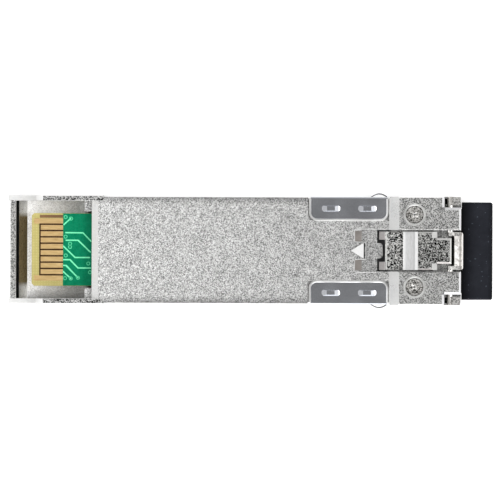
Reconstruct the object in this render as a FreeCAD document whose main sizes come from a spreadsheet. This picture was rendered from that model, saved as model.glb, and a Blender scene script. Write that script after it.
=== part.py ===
"""Small form-factor optical transceiver module with a duplex LC front and a bail latch.

The module lies on its lid, latch side up.  +X points out of the optical front, +Z out of
the latch side, and Z = 0 is the outer face of the lid.  Lengths along the module are held
as distances from its rear face ("station"), and every sub-part is shifted back by half of
the overall length, so that the origin is under the middle of the module.  Millimetres.
"""
import FreeCAD, Part
import math
import os
import re
import Sketcher

V = FreeCAD.Vector
DIMENSIONS = {
    # Envelope
    "overall_length": 61.3,
    "body_height": 8.5,
    "body_half": 6.7,
    "nose_half": 6.85,
    "nose_height": 9.8,
    "nose_front": 57.3,
    "nose_slope_start": 48.2,
    "nose_slope_end": 49.5,
    "nose_shoulder": 48.4,
    "nose_edge": 0.25,
    "nose_side_bevel": 0.12,
    "reach": 1,
    "outside": 8,
    "overlap": 0.5,
    "near": 0.05,
    # Lid
    "lid_thickness": 0.8,
    "lid_wall_top": 2.6,
    "skirt_top": 8.4,
    "skirt_low_top": 3.25,
    "skirt_ramp_start": 3.5,
    "skirt_ramp_end": 4.4,
    "skirt_end": 12.1,
    "skirt_inner": 6.2,
    "skirt_outer": 6.95,
    "skirt_bevel": 0.15,
    "rim_thickness": 0.95,
    "rim_height": 3.25,
    "rim_chamfer": 0.25,
    "groove_end": 1.35,
    "groove_floor": 1.2,
    "plateau_height": 3.1,
    "plateau_slope_end": 2.4,
    "plateau_end": 10.1,
    "label_start": 15.0,
    "label_end": 36.0,
    "label_half": 5.2,
    "label_thickness": 0.1,
    "label_gap": 0.1,
    "corner_block_start": 9.7,
    "corner_block_half": 4.85,
    "corner_block_top": 6.9,
    "block_base": 0.5,
    "pedestal_start": 24.5,
    "pedestal_end": 30.5,
    "pedestal_half": 3.2,
    "pedestal_top": 2.4,
    "rear_post_at": 13,
    "front_post_at": 33.5,
    "post_length": 1.5,
    "post_inner": 4.55,
    "post_outer": 5.4,
    "post_height": 5.25,
    # Housing
    "wall_inner": 5.8,
    "belly_inner": 7.3,
    "opening_start": 10.6,
    "opening_bevel": 0.82,
    "front_wall_start": 56.0,
    # Latch shoulder, recess and lever channel
    "shoulder_at": 45.0,
    "boss_apex": 43.38,
    "boss_half": 1.0,
    "boss_top": 8.95,
    "boss_crown": 0.35,
    "bridge_half": 1.15,
    "bridge_end": 45.3,
    "shoulder_relief_end": 45.15,
    "shoulder_relief_floor": 8.25,
    "window_start": 43.9,
    "window_half": 2.5,
    "recess_start": 44.6,
    "recess_half": 2.67,
    "recess_floor": 7.9,
    "window_depth": 0.05,
    "window_overlap": 0.15,
    "trench_start": 46.7,
    "trench_end": 48.4,
    "trench_floor": 7.2,
    "tab_end": 47.42,
    "tab_half": 0.97,
    "tab_corner": 0.45,
    "channel_half": 2.62,
    "channel_chamfer": 0.16,
    "hub_pocket_start": 54.9,
    "hub_pocket_floor": 7.7,
    # Screws
    "screw_at": 51.43,
    "screw_offset": 4.58,
    "counterbore_radius": 1.2,
    "counterbore_floor": 8.35,
    "counterbore_chamfer": 0.2,
    "screw_head_radius": 1.12,
    "screw_head_height": 0.7,
    "screw_shank_radius": 0.55,
    "screw_hole_radius": 0.58,
    "screw_tip": 6.8,
    "recess_slot_half": 0.16,
    "recess_slot_length": 0.72,
    "recess_slot_depth": 0.4,
    # Lever
    "lever_tip": 46.95,
    "lever_underside": 7.96,
    "lever_low_top": 8.55,
    "lever_ramp_end": 47.7,
    "fork_base": 47.72,
    "fork_half": 1.4,
    "lever_half": 2.44,
    "lever_slope_start": 50.0,
    "lever_slope_end": 51.85,
    "lever_top": 9.7,
    "lever_step": 54.3,
    "lever_step_run": 0.7,
    "lever_step_drop": 0.36,
    "lever_neck_half": 1.61,
    "lever_front": 56.1,
    "lever_edge_run": 0.2,
    "lever_edge_drop": 0.14,
    "spring_pocket_start": 51.7,
    "spring_pocket_end": 55.5,
    "spring_pocket_half": 0.75,
    "spring_pocket_top": 9.3,
    "spring_post_start": 51.8,
    "spring_post_end": 52.0,
    "spring_post_top": 9.15,
    "spring_post_half": 0.6,
    "spring_radius": 0.5,
    "spring_wire": 0.07,
    "spring_turns": 6,
    "spring_height": 8.62,
    # Bail
    "hinge_at": 55.95,
    "hinge_height": 8.25,
    "shaft_radius": 0.4,
    "shaft_bore": 0.44,
    "leg_inner": 1.9,
    "leg_outer": 2.4,
    "leg_reach": 0.45,
    "leg_rear": 0.3,
    "leg_hook_top": 9.3,
    "crossbar_start": 56.45,
    "crossbar_end": 57.56,
    "crossbar_bottom": 8.55,
    "crossbar_top": 9.55,
    "crossbar_valley_start": 57.12,
    "crossbar_valley_end": 57.26,
    "crossbar_valley_top": 9.38,
    "crossbar_round": 0.14,
    "crossbar_chamfer": 0.14,
    "crossbar_corner": 0.35,
    "arm_start": 56.15,
    "arm_end": 57.25,
    "arm_inner": 6.25,
    "arm_outer": 6.85,
    "arm_top": 8.9,
    "hub_block_inner": 5.78,
    "hub_block_bottom": 7.75,
    "handle_start": 56.25,
    "handle_top": 0.95,
    "handle_bottom": 0.05,
    "notch_start": 55.2,
    "notch_inner": 5.5,
    "notch_floor": 7.65,
    "notch_chamfer": 0.3,
    "notch_slit_start": 55.25,
    "notch_slit_end": 55.55,
    "notch_slit_inner": 5.9,
    "notch_slit_outer": 6.6,
    "notch_slit_floor": 6.4,
    "arm_slot_start": 56.1,
    "arm_slot_inner": 6.15,
    "handle_slot_start": 56.1,
    "handle_slot_top": 1.05,
    # Optical ports
    "port_pitch": 6.25,
    "port_half": 2.31,
    "axis_height": 4.45,
    "latch_slot_half": 1.2,
    "latch_slot_bottom": 1.35,
    "receptacle_rear": 46.5,
    "receptacle_wall": 1.5,
    "receptacle_bottom": 0.85,
    "receptacle_clearance": 0.05,
    # Dust plug
    "plug_start": 57.45,
    "plug_half": 6.17,
    "plug_top": 8.0,
    "plug_bottom": 2.1,
    "plug_toe_start": 59.6,
    "plug_toe_height": 3.5,
    "plug_edge": 0.3,
    "prong_tip": 49.2,
    "prong_half": 2.2,
    "prong_inner": 1.75,
    # Optical sub-assemblies
    "barrel_radius": 1.42,
    "barrel_tip": 51.5,
    "barrel_lead": 0.2,
    "barrel_rear": 44.0,
    "barrel_cavity": 1.0,
    "barrel_cavity_rear": 47.5,
    "sleeve_radius": 0.98,
    "sleeve_bore": 0.627,
    "sleeve_gap": 0.1,
    "sleeve_tip": 51.2,
    "stub_rear": 45.5,
    "stub_radius": 0.9,
    "stub_bore": 0.905,
    "can_rear": 38.5,
    "can_front": 44.0,
    "can_radius": 2.3,
    "can_step": 41.2,
    "can_step_radius": 2.0,
    "header_rear": 37.9,
    "header_radius": 2.15,
    "retainer_end": 45.1,
    "retainer_half": 5.7,
    "retainer_bottom": 0.9,
    "retainer_top": 7.2,
    "retainer_bore": 1.46,
    # Board and electronics
    "board_rear": 3.0,
    "board_shoulder": 10.9,
    "board_front": 36.5,
    "board_half": 4.6,
    "board_inner_half": 5.35,
    "board_bottom": 5.25,
    "board_thickness": 1.0,
    "board_corner": 0.3,
    "contact_pitch": 0.8,
    "contact_width": 0.65,
    "contact_start": 4.1,
    "contact_long_start": 3.3,
    "contact_end": 6.95,
    "contact_thickness": 0.04,
    "flex_thickness": 0.15,
    "flex_half": 1.7,
    "flex_start": 33.0,
    "flex_bottom": 3.0,
    "pad_height": 0.9,
    "driver_start": 25,
    "driver_end": 30,
    "chip_half": 2.5,
    "controller_start": 19,
    "controller_end": 24,
    "amplifier_start": 28,
    "amplifier_end": 31,
    "amplifier_low": -4.4,
    "amplifier_high": -1.4,
    "memory_start": 15.8,
    "memory_end": 17.8,
    "memory_low": 1,
    "memory_high": 4,
    "chip_height": 0.8,
    "chip_rim": 0.08,
    "passive_start": 12.2,
    "passive_pitch": 3.5,
    "passive_row_start": -4,
    "passive_row_pitch": 1.7,
    "passive_length": 1,
    "passive_width": 0.5,
    "passive_height": 0.45,
    # Shielding collar
    "collar_start": 38.3,
    "collar_end": 48.0,
    "collar_pocket_start": 37.95,
    "collar_pocket_inner": 3.85,
    "collar_pocket_floor": 8.15,
    "collar_pocket_side": 6.65,
    "collar_pocket_lid": 0.2,
    "collar_gap": 3.97,
    "collar_outer": 6.8,
    "collar_top": 8.3,
    "collar_bottom": 0.05,
    "collar_thickness": 0.15,
    "collar_bend": 0.2,
    "collar_corner_cut": 0.15,
    "collar_corner": 0.8,
    "bump_first": 40.85,
    "bump_second": 45.45,
    "bump_offset": 5.33,
    "bump_half_length": 1.15,
    "bump_half_width": 0.4,
    "bump_flat_half": 0.5,
    "bump_side_slope": 0.14,
    "bump_corner": 0.22,
    "bump_height": 0.2,
    "side_gap_bottom": 0.9,
    "side_gap_top": 7.5,
    "slit_half": 0.15,
    "finger_start": 45.9,
    "finger_middle": 4.2,
    "finger_length": 2.1,
    "finger_bulge": 0.48,
    "finger_width": 1.7,
    "finger_pitch": 2.1,
}

doc = FreeCAD.newDocument("OpticalTransceiver")
sheet = doc.addObject("Spreadsheet::Sheet", "Sizes")
for row, (alias, value) in enumerate(DIMENSIONS.items(), start=1):
    sheet.set(f"A{row}", alias)
    sheet.set(f"B{row}", str(value))
    sheet.setAlias(f"B{row}", alias)
doc.recompute()

SUBPARTS = []
PLANES = {
    "XY": FreeCAD.Rotation(),
    "XZ": FreeCAD.Rotation(V(1, 0, 0), 90),
    "YZ": FreeCAD.Rotation(V(1, 1, 1), 120),
}
AXIS_TURNS = {
    "x": FreeCAD.Rotation(V(0, 1, 0), 90),
    "y": FreeCAD.Rotation(V(1, 0, 0), -90),
    "z": FreeCAD.Rotation(),
}


def bound(formula):
    """Turn the sheet's aliases in a formula into references to the sheet."""
    return re.sub(r"[a-z]\w*", lambda word: "Sizes." + word.group(0), str(formula))


def size(formula):
    """Value of a formula over the sheet's aliases."""
    return sheet.evalExpression(bound(formula))


def place(item, x="0", y="0", z="0"):
    """Bind an object's position to formulas."""
    for axis, formula in zip("xyz", (x, y, z)):
        item.setExpression(f".Placement.Base.{axis}", bound(formula))
    return item


def box(name, x, y, z):
    """Box between the (low, high) formulas of each axis."""
    solid = doc.addObject("Part::Box", name)
    for side, (low, high) in zip(("Length", "Width", "Height"), (x, y, z)):
        solid.setExpression(side, bound(f"({high}) - ({low})"))
    return place(solid, x[0], y[0], z[0])


def cylinder(name, axis, start, end, radius, centre):
    """Cylinder along an axis from start to end; centre holds the other two coordinates."""
    solid = doc.addObject("Part::Cylinder", name)
    solid.setExpression("Radius", bound(radius))
    solid.setExpression("Height", bound(f"({end}) - ({start})"))
    solid.Placement = FreeCAD.Placement(V(0, 0, 0), AXIS_TURNS[axis])
    position = list(centre)
    position.insert("xyz".index(axis), start)
    return place(solid, *position)


def outline(sketch, points):
    """Draw a closed outline whose corners are bound to pairs of formulas."""
    values = [V(size(x), size(y), 0) for x, y in points]
    for index, corner in enumerate(values):
        following = values[(index + 1) % len(values)]
        sketch.addGeometry(Part.LineSegment(corner, following), False)
    for index in range(len(values)):
        following = (index + 1) % len(values)
        sketch.addConstraint(Sketcher.Constraint("Coincident", index, 2, following, 1))
    for index, (point, corner) in enumerate(zip(points, values)):
        for kind, formula, value in zip(("DistanceX", "DistanceY"), point, corner):
            number = sketch.addConstraint(Sketcher.Constraint(kind, -1, 1, index, 1, value))
            sketch.setExpression(f"Constraints[{number}]", bound(formula))
    return sketch


def prism(name, plane, points, start, end):
    """Extrude an outline in plane XY, XZ or YZ between two coordinates of the third axis."""
    sketch = doc.addObject("Sketcher::SketchObject", name + "_outline")
    sketch.Placement = FreeCAD.Placement(V(0, 0, 0), PLANES[plane])
    outline(sketch, points)
    solid = doc.addObject("Part::Extrusion", name)
    solid.Base = sketch
    solid.DirMode = "Normal"
    solid.Solid = True
    forward, backward = (f"-({start})", end) if plane == "XZ" else (end, f"-({start})")
    solid.setExpression("LengthFwd", bound(forward))
    solid.setExpression("LengthRev", bound(backward))
    return solid


def fuse(name, *solids):
    """Union of several objects."""
    joined = doc.addObject("Part::MultiFuse", name)
    joined.Shapes = list(solids)
    joined.Refine = True
    return joined


def group(name, *solids):
    """Several separate solids in one object."""
    bundle = doc.addObject("Part::Compound", name)
    bundle.Links = list(solids)
    return bundle


def cut(name, base, *tools):
    """Base less the tools."""
    result = doc.addObject("Part::Cut", name)
    result.Base = base
    result.Tool = tools[0] if len(tools) == 1 else group(name + "_tools", *tools)
    result.Refine = True
    return result


def common(name, first, second):
    """What two objects share."""
    shared = doc.addObject("Part::Common", name)
    shared.Base = first
    shared.Tool = second
    return shared


def both_sides(maker, name):
    """Make the +Y and the -Y copy of something; maker takes a name and a range function."""
    sides = []
    for label, mirror in (("left", lambda low, high: (low, high)),
                          ("right", lambda low, high: (f"-({high})", f"-({low})"))):
        sides.append(maker(f"{name}_{label}", mirror))
    return sides


def bevel_ends(name, side, edge, width):
    """The y of a bevel's inner end and of the edge it starts from, for one side."""
    low, high = side(f"{edge} - {width}", edge)
    return (low, high) if name.endswith("left") else (high, low)


def subpart(label, item):
    """Name a finished piece and shift it so that the origin is under the module's middle."""
    item.Label = label
    formulas = dict(item.ExpressionEngine)
    start = formulas.get(".Placement.Base.x", "0")
    item.setExpression(".Placement.Base.x", f"{start} - " + bound("overall_length / 2"))
    SUBPARTS.append(item)
    return item


def edges_at(shape, test):
    """Numbers of the edges whose middle and direction pass a test."""
    found = []
    for number, edge in enumerate(shape.Edges, start=1):
        middle = edge.valueAt((edge.FirstParameter + edge.LastParameter) / 2)
        way = edge.Vertexes[-1].Point - edge.Vertexes[0].Point
        if test(middle, way):
            found.append(number)
    return found


def rounded(name, base, radius, test):
    """Round the edges of base that pass a test."""
    doc.recompute()
    result = doc.addObject("Part::Fillet", name)
    result.Base = base
    result.Edges = [(number, size(radius), size(radius)) for number in edges_at(base.Shape, test)]
    return result


def pad_body(label, plane, points, start, end):
    """PartDesign body: an outline padded from one coordinate to another."""
    body = doc.addObject("PartDesign::Body", label)
    sketch = body.newObject("Sketcher::SketchObject", label + "_outline")
    role = plane + "_Plane"
    origin_plane = [item for item in body.Origin.OriginFeatures if item.Role == role][0]
    sketch.AttachmentSupport = [(origin_plane, "")]
    sketch.MapMode = "FlatFace"
    sketch.setExpression(".AttachmentOffset.Base.z", bound(start))
    outline(sketch, points)
    pad = body.newObject("PartDesign::Pad", label + "_pad")
    pad.Profile = sketch
    pad.setExpression("Length", bound(f"({end}) - ({start})"))
    body.Tip = pad
    return body


def revolved_body(label, points, height, offset):
    """PartDesign body: an outline of (station, radius) points turned about an X axis."""
    body = doc.addObject("PartDesign::Body", label)
    sketch = body.newObject("Sketcher::SketchObject", label + "_outline")
    plane = [item for item in body.Origin.OriginFeatures if item.Role == "XZ_Plane"][0]
    sketch.AttachmentSupport = [(plane, "")]
    sketch.MapMode = "FlatFace"
    outline(sketch, points)
    turn = body.newObject("PartDesign::Revolution", label + "_turn")
    turn.Profile = sketch
    turn.ReferenceAxis = (sketch, ["H_Axis"])
    turn.Angle = 360
    body.Tip = turn
    place(body, "0", offset, height)
    return body


# ------------------------------------------------------------------ die-cast lid and housing
def top_cover():
    """Lid with the rear rim, the plateau under the card edge and the tall rear skirts."""
    plate = prism("lid_plate", "XZ", [
        ("0", "0"), ("0", "rim_height - rim_chamfer"), ("rim_chamfer", "rim_height"),
        ("rim_thickness", "rim_height"), ("rim_thickness", "groove_floor"),
        ("groove_end", "groove_floor"),
        ("groove_end", "plateau_height - plateau_slope_end + groove_end"),
        ("plateau_slope_end", "plateau_height"), ("plateau_end", "plateau_height"),
        ("plateau_end", "lid_thickness"), ("nose_shoulder", "lid_thickness"),
        ("nose_shoulder", "0")], "-skirt_inner", "skirt_inner")

    def skirt(name, side):
        return prism(name, "XZ", [
            ("0", "0"), ("0", "skirt_low_top"), ("skirt_ramp_start", "skirt_low_top"),
            ("skirt_ramp_end", "skirt_top"), ("skirt_end", "skirt_top"),
            ("skirt_end", "0")], *side("skirt_inner", "skirt_outer"))

    def skirt_bevel(name, side):
        inner, edge = bevel_ends(name, side, "skirt_outer", "skirt_bevel")
        return prism(name, "YZ", [
            (inner, "skirt_top"), (edge, "skirt_top - skirt_bevel"),
            (edge, "skirt_top + reach"), (inner, "skirt_top + reach")],
            "skirt_ramp_end", "skirt_end + reach")

    def low_bevel(name, side):
        inner, edge = bevel_ends(name, side, "skirt_outer", "skirt_bevel")
        return prism(name, "YZ", [
            (inner, "skirt_low_top"), (edge, "skirt_low_top - skirt_bevel"),
            (edge, "skirt_low_top + reach"), (inner, "skirt_low_top + reach")],
            "-reach", "skirt_ramp_start")

    def outer_wall(name, side):
        return box(name, ("skirt_end", "nose_shoulder"), side("skirt_inner", "body_half"),
                   ("0", "lid_wall_top"))

    def inner_wall(name, side):
        return box(name, ("skirt_end", "nose_shoulder"), side("wall_inner", "skirt_inner"),
                   ("lid_thickness", "lid_wall_top"))

    def corner_block(name, side):
        return box(name, ("corner_block_start", "opening_start"),
                   side("corner_block_half", "skirt_inner"), ("block_base", "corner_block_top"))

    def board_post(start):
        def maker(name, side):
            return box(name, (start, f"{start} + post_length"), side("post_inner", "post_outer"),
                       ("block_base", "post_height"))
        return maker

    pedestal = box("pedestal", ("pedestal_start", "pedestal_end"),
                   ("-pedestal_half", "pedestal_half"), ("block_base", "pedestal_top"))
    solids = [plate, pedestal]
    solids += both_sides(skirt, "skirt") + both_sides(outer_wall, "outer_wall")
    solids += both_sides(inner_wall, "inner_wall")
    solids += both_sides(corner_block, "corner_block")
    solids += both_sides(board_post("rear_post_at"), "rear_post")
    solids += both_sides(board_post("front_post_at"), "front_post")
    body = fuse("lid_body", *solids)

    def collar_side(name, side):
        return box(name, ("collar_pocket_start", "nose_shoulder + reach"),
                   side("collar_pocket_side", "body_half + reach"), ("-reach", "body_height"))

    def collar_corner(name, side):
        inner, edge = bevel_ends(name, side, "collar_pocket_side", "collar_corner_cut")
        return prism(name, "YZ", [
            (inner, "collar_pocket_lid"), (edge, "collar_pocket_lid + collar_corner_cut"),
            (edge, "collar_pocket_lid")], "collar_pocket_start", "nose_shoulder + reach")

    pockets = both_sides(skirt_bevel, "skirt_bevel") + both_sides(low_bevel, "low_bevel")
    pockets += both_sides(collar_side, "lid_collar_side")
    pockets += both_sides(collar_corner, "lid_collar_corner")
    pockets.append(box("lid_collar_floor", ("collar_pocket_start", "nose_shoulder + reach"),
                       ("-outside", "outside"), ("-reach", "collar_pocket_lid")))
    pockets.append(box("label_recess", ("label_start", "label_end"),
                       ("-label_half", "label_half"), ("-reach", "label_thickness")))
    subpart("top_cover", cut("top_cover", body, *pockets))
    subpart("rating_label", box("rating_label", ("label_start + label_gap", "label_end - label_gap"),
                                ("label_gap - label_half", "label_half - label_gap"),
                                ("0", "label_thickness")))


def housing_blocks():
    """Outer blocks of the die-cast housing, before the hollows are cut."""
    belly = prism("belly_block", "XZ", [
        ("skirt_end", "lid_wall_top"), ("skirt_end", "body_height"),
        ("nose_slope_start", "body_height"), ("nose_slope_start + reach", "body_height"),
        ("nose_slope_start + reach", "lid_wall_top")], "-body_half", "body_half")
    lip = prism("belly_lip", "XZ", [
        ("opening_start", "belly_inner"),
        ("opening_start", "body_height - opening_bevel"),
        ("opening_start + opening_bevel", "body_height"),
        ("skirt_end + overlap", "body_height"), ("skirt_end + overlap", "belly_inner")],
        "-skirt_inner", "skirt_inner")
    slope = prism("nose_slope", "XZ", [
        ("nose_slope_start", "belly_inner"), ("nose_slope_start", "body_height"),
        ("nose_slope_end", "nose_height"), ("nose_slope_end + reach", "nose_height"),
        ("nose_slope_end + reach", "belly_inner")], "-body_half", "body_half")
    nose = prism("nose_block", "XZ", [
        ("nose_shoulder", "0"), ("nose_shoulder", "nose_height - nose_slope_end + nose_shoulder"),
        ("nose_slope_end", "nose_height"), ("nose_front - nose_edge", "nose_height"),
        ("nose_front", "nose_height - nose_edge"), ("nose_front", "0")], "-nose_half", "nose_half")
    return fuse("housing_blocks", belly, lip, slope, nose)


def port_window(name, y_centre, start, end):
    """Space of one optical port: a square with a slot for the connector's latch."""
    opening = box(name + "_square", (start, end),
                  (f"{y_centre} - port_half", f"{y_centre} + port_half"),
                  ("axis_height - port_half", "axis_height + port_half"))
    slot = box(name + "_slot", (start, end),
               (f"{y_centre} - latch_slot_half", f"{y_centre} + latch_slot_half"),
               ("latch_slot_bottom", "axis_height"))
    return fuse(name, opening, slot)


def nose_cuts():
    """Everything removed from the nose for the lever, the bail, the screws and the ports."""
    cuts = [
        box("channel", ("trench_end", "nose_front + reach"), ("-channel_half", "channel_half"),
            ("recess_floor", "nose_height + reach")),
        box("trench", ("trench_start", "trench_end"), ("-channel_half", "channel_half"),
            ("trench_floor", "nose_height + reach")),
        box("hub_pocket", ("hub_pocket_start", "nose_front + reach"),
            ("-channel_half", "channel_half"), ("hub_pocket_floor", "nose_height")),
        prism("channel_chamfer_cut", "YZ", [
            ("-channel_half - channel_chamfer", "nose_height"),
            ("-channel_half", "nose_height - channel_chamfer"),
            ("channel_half", "nose_height - channel_chamfer"),
            ("channel_half + channel_chamfer", "nose_height"),
            ("channel_half + channel_chamfer", "nose_height + reach"),
            ("-channel_half - channel_chamfer", "nose_height + reach")],
            "nose_slope_start + overlap", "nose_front + reach"),
        cylinder("hinge_bore", "y", "-nose_half - reach", "nose_half + reach", "shaft_bore",
                 ("hinge_at", "hinge_height")),
        box("handle_slot", ("handle_slot_start", "nose_front + reach"), ("-outside", "outside"),
            ("-reach", "handle_slot_top")),
        box("nose_cavity", ("nose_shoulder - reach", "front_wall_start"),
            ("-wall_inner", "wall_inner"), ("lid_thickness", "belly_inner")),
    ]

    def notch(name, side):
        return box(name, ("notch_start", "nose_front + reach"), side("notch_inner", "nose_half + reach"),
                   ("notch_floor", "nose_height + reach"))

    def notch_bevel(name, side):
        inner, edge = bevel_ends(name, side, "notch_inner", "notch_chamfer")
        return prism(name, "YZ", [
            (inner, "nose_height"), (edge, "nose_height - notch_chamfer"),
            (edge, "nose_height + reach"), (inner, "nose_height + reach")],
            "notch_start - notch_chamfer", "nose_front + reach")

    def notch_rear_bevel(name, side):
        return prism(name, "XZ", [
            ("notch_start - notch_chamfer", "nose_height"),
            ("notch_start", "nose_height - notch_chamfer"),
            ("notch_start", "nose_height + reach"),
            ("notch_start - notch_chamfer", "nose_height + reach")],
            *side("notch_inner - notch_chamfer", "nose_half + reach"))

    def side_bevel(name, side):
        inner, edge = bevel_ends(name, side, "nose_half", "nose_side_bevel")
        return prism(name, "YZ", [
            (inner, "nose_height"), (edge, "nose_height - nose_side_bevel"),
            (edge, "nose_height + reach"), (inner, "nose_height + reach")],
            "nose_slope_start", "nose_front + reach")

    def arm_slot(name, side):
        return box(name, ("arm_slot_start", "nose_front + reach"),
                   side("arm_slot_inner", "nose_half + reach"), ("-reach", "nose_height + reach"))

    def slit(name, side):
        return box(name, ("notch_slit_start", "notch_slit_end"),
                   side("notch_slit_inner", "notch_slit_outer"),
                   ("notch_slit_floor", "nose_height"))

    for maker, name in ((notch, "notch"), (notch_bevel, "notch_bevel"), (slit, "notch_slit"),
                        (notch_rear_bevel, "notch_rear_bevel"), (arm_slot, "arm_slot"),
                        (side_bevel, "nose_side_bevel_cut")):
        cuts += both_sides(maker, name)
    for label, sign in (("left", ""), ("right", "-")):
        offset = f"{sign}screw_offset"
        place_at = ("screw_at", offset)
        cuts.append(cylinder(f"counterbore_{label}", "z", "counterbore_floor", "nose_height + reach",
                             "counterbore_radius", place_at))
        cuts.append(cylinder(f"screw_hole_{label}", "z", "belly_inner - reach", "nose_height",
                             "screw_hole_radius", place_at))
        rim = doc.addObject("Part::Cone", f"counterbore_rim_{label}")
        rim.setExpression("Radius1", bound("counterbore_radius"))
        rim.setExpression("Radius2", bound("counterbore_radius + counterbore_chamfer"))
        rim.setExpression("Height", bound("counterbore_chamfer"))
        cuts.append(place(rim, "screw_at", offset, "nose_height - counterbore_chamfer"))
        cuts.append(port_window(f"front_window_{label}", f"{sign}port_pitch / 2",
                                "front_wall_start - reach", "nose_front + reach"))
    return cuts


def belly_cuts():
    """Inner hollow, latch recess and shielding collar pocket of the housing."""
    cuts = [
        box("housing_cavity", ("opening_start - reach", "nose_shoulder"),
            ("-wall_inner", "wall_inner"), ("-reach", "belly_inner")),
        box("lid_space", ("skirt_end - reach", "nose_shoulder"), ("-outside", "outside"),
            ("-reach", "lid_wall_top")),
        box("latch_recess", ("recess_start", "trench_start + overlap"),
            ("-recess_half", "recess_half"), ("recess_floor", "nose_height")),
    ]

    def window(name, side):
        return box(name, ("window_start", "recess_start + window_overlap"),
                   side("bridge_half", "window_half"),
                   ("recess_floor - window_depth", "body_height + reach"))

    def collar_belly(name, side):
        return box(name, ("collar_pocket_start", "nose_slope_start"),
                   side("collar_pocket_inner", "body_half + reach"),
                   ("collar_pocket_floor", "body_height + reach"))

    def collar_side(name, side):
        return box(name, ("collar_pocket_start", "nose_slope_start"),
                   side("collar_pocket_side", "body_half + reach"), ("0", "body_height + reach"))

    def collar_corner(name, side):
        inner, edge = bevel_ends(name, side, "collar_pocket_side", "collar_corner_cut")
        return prism(name, "YZ", [
            (inner, "collar_pocket_floor"), (edge, "collar_pocket_floor - collar_corner_cut"),
            (edge, "collar_pocket_floor")], "collar_pocket_start", "nose_slope_start")

    for maker, name in ((window, "window"), (collar_belly, "collar_belly"),
                        (collar_side, "collar_side"), (collar_corner, "collar_corner")):
        cuts += both_sides(maker, name)
    return cuts


def latch_boss():
    """Triangular latch boss on its bridge, and the fixed tab in front of the recess."""
    ramp = prism("boss_ramp", "XZ", [
        ("boss_apex - reach", "body_height"), ("boss_apex - reach", "body_height - overlap"),
        ("shoulder_at", "body_height - overlap"), ("shoulder_at", "boss_top"),
        ("shoulder_at - boss_crown", "boss_top")], "-boss_half - reach", "boss_half + reach")
    plan = prism("boss_plan", "XY", [
        ("boss_apex", "0"), ("shoulder_at", "-boss_half"), ("shoulder_at", "boss_half")],
        "body_height - overlap", "boss_top + reach")
    boss = common("boss", ramp, plan)
    bridge = cut("bridge",
                 box("bridge_block", ("recess_start - overlap", "bridge_end"),
                     ("-bridge_half", "bridge_half"), ("belly_inner", "body_height")),
                 box("shoulder_relief", ("shoulder_at", "shoulder_relief_end"),
                     ("-boss_half", "boss_half"), ("shoulder_relief_floor", "body_height + reach")))
    tab = box("tab", ("trench_start - overlap", "tab_end"), ("-tab_half", "tab_half"),
              ("belly_inner", "recess_floor"))
    tab = rounded("tab_rounded", tab, "tab_corner",
                  lambda middle, way: middle.x > size("tab_end - near") and abs(way.z) > 0.1)
    return [boss, bridge, tab]


def base_housing():
    """Die-cast housing: belly, side walls and nose."""
    hollow = cut("hollow_housing", housing_blocks(), *(belly_cuts() + nose_cuts()))
    post = box("spring_post", ("spring_post_start", "spring_post_end"),
               ("-spring_post_half", "spring_post_half"),
               ("recess_floor - overlap", "spring_post_top"))

    def clamp_post(name, side):
        return box(name, ("rear_post_at", "rear_post_at + post_length"),
                   side("post_inner", "post_outer"),
                   ("board_bottom + board_thickness", "belly_inner + overlap"))

    subpart("base_housing", fuse("base_housing", hollow, post, *latch_boss(),
                                 *both_sides(clamp_post, "clamp_post")))


def housing_screws():
    """Two cross-recess screws that hold the receptacle in the nose."""
    screws = []
    for label, sign in (("left", ""), ("right", "-")):
        offset = f"{sign}screw_offset"
        centre = ("screw_at", offset)
        head = cylinder(f"screw_head_{label}", "z", "counterbore_floor",
                        "counterbore_floor + screw_head_height", "screw_head_radius", centre)
        shank = cylinder(f"screw_shank_{label}", "z", "screw_tip", "counterbore_floor + near",
                         "screw_shank_radius", centre)
        slots = []
        for turn in (45, 135):
            slot = doc.addObject("Part::Box", f"screw_slot_{label}_{turn}")
            slot.setExpression("Length", bound("2 * recess_slot_length"))
            slot.setExpression("Width", bound("2 * recess_slot_half"))
            slot.setExpression("Height", bound("recess_slot_depth + reach"))
            angle = math.radians(turn)
            back = V(size("recess_slot_length"), size("recess_slot_half"), 0)
            shift = FreeCAD.Rotation(V(0, 0, 1), turn).multVec(back)
            slot.Placement = FreeCAD.Placement(
                V(size("screw_at") - shift.x, size(offset) - shift.y,
                  size("counterbore_floor + screw_head_height - recess_slot_depth")),
                FreeCAD.Rotation(V(0, 0, 1), turn))
            slots.append(slot)
        screws.append(cut(f"screw_{label}", fuse(f"screw_blank_{label}", head, shank), *slots))
    subpart("housing_screws", group("housing_screws", *screws))


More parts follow.
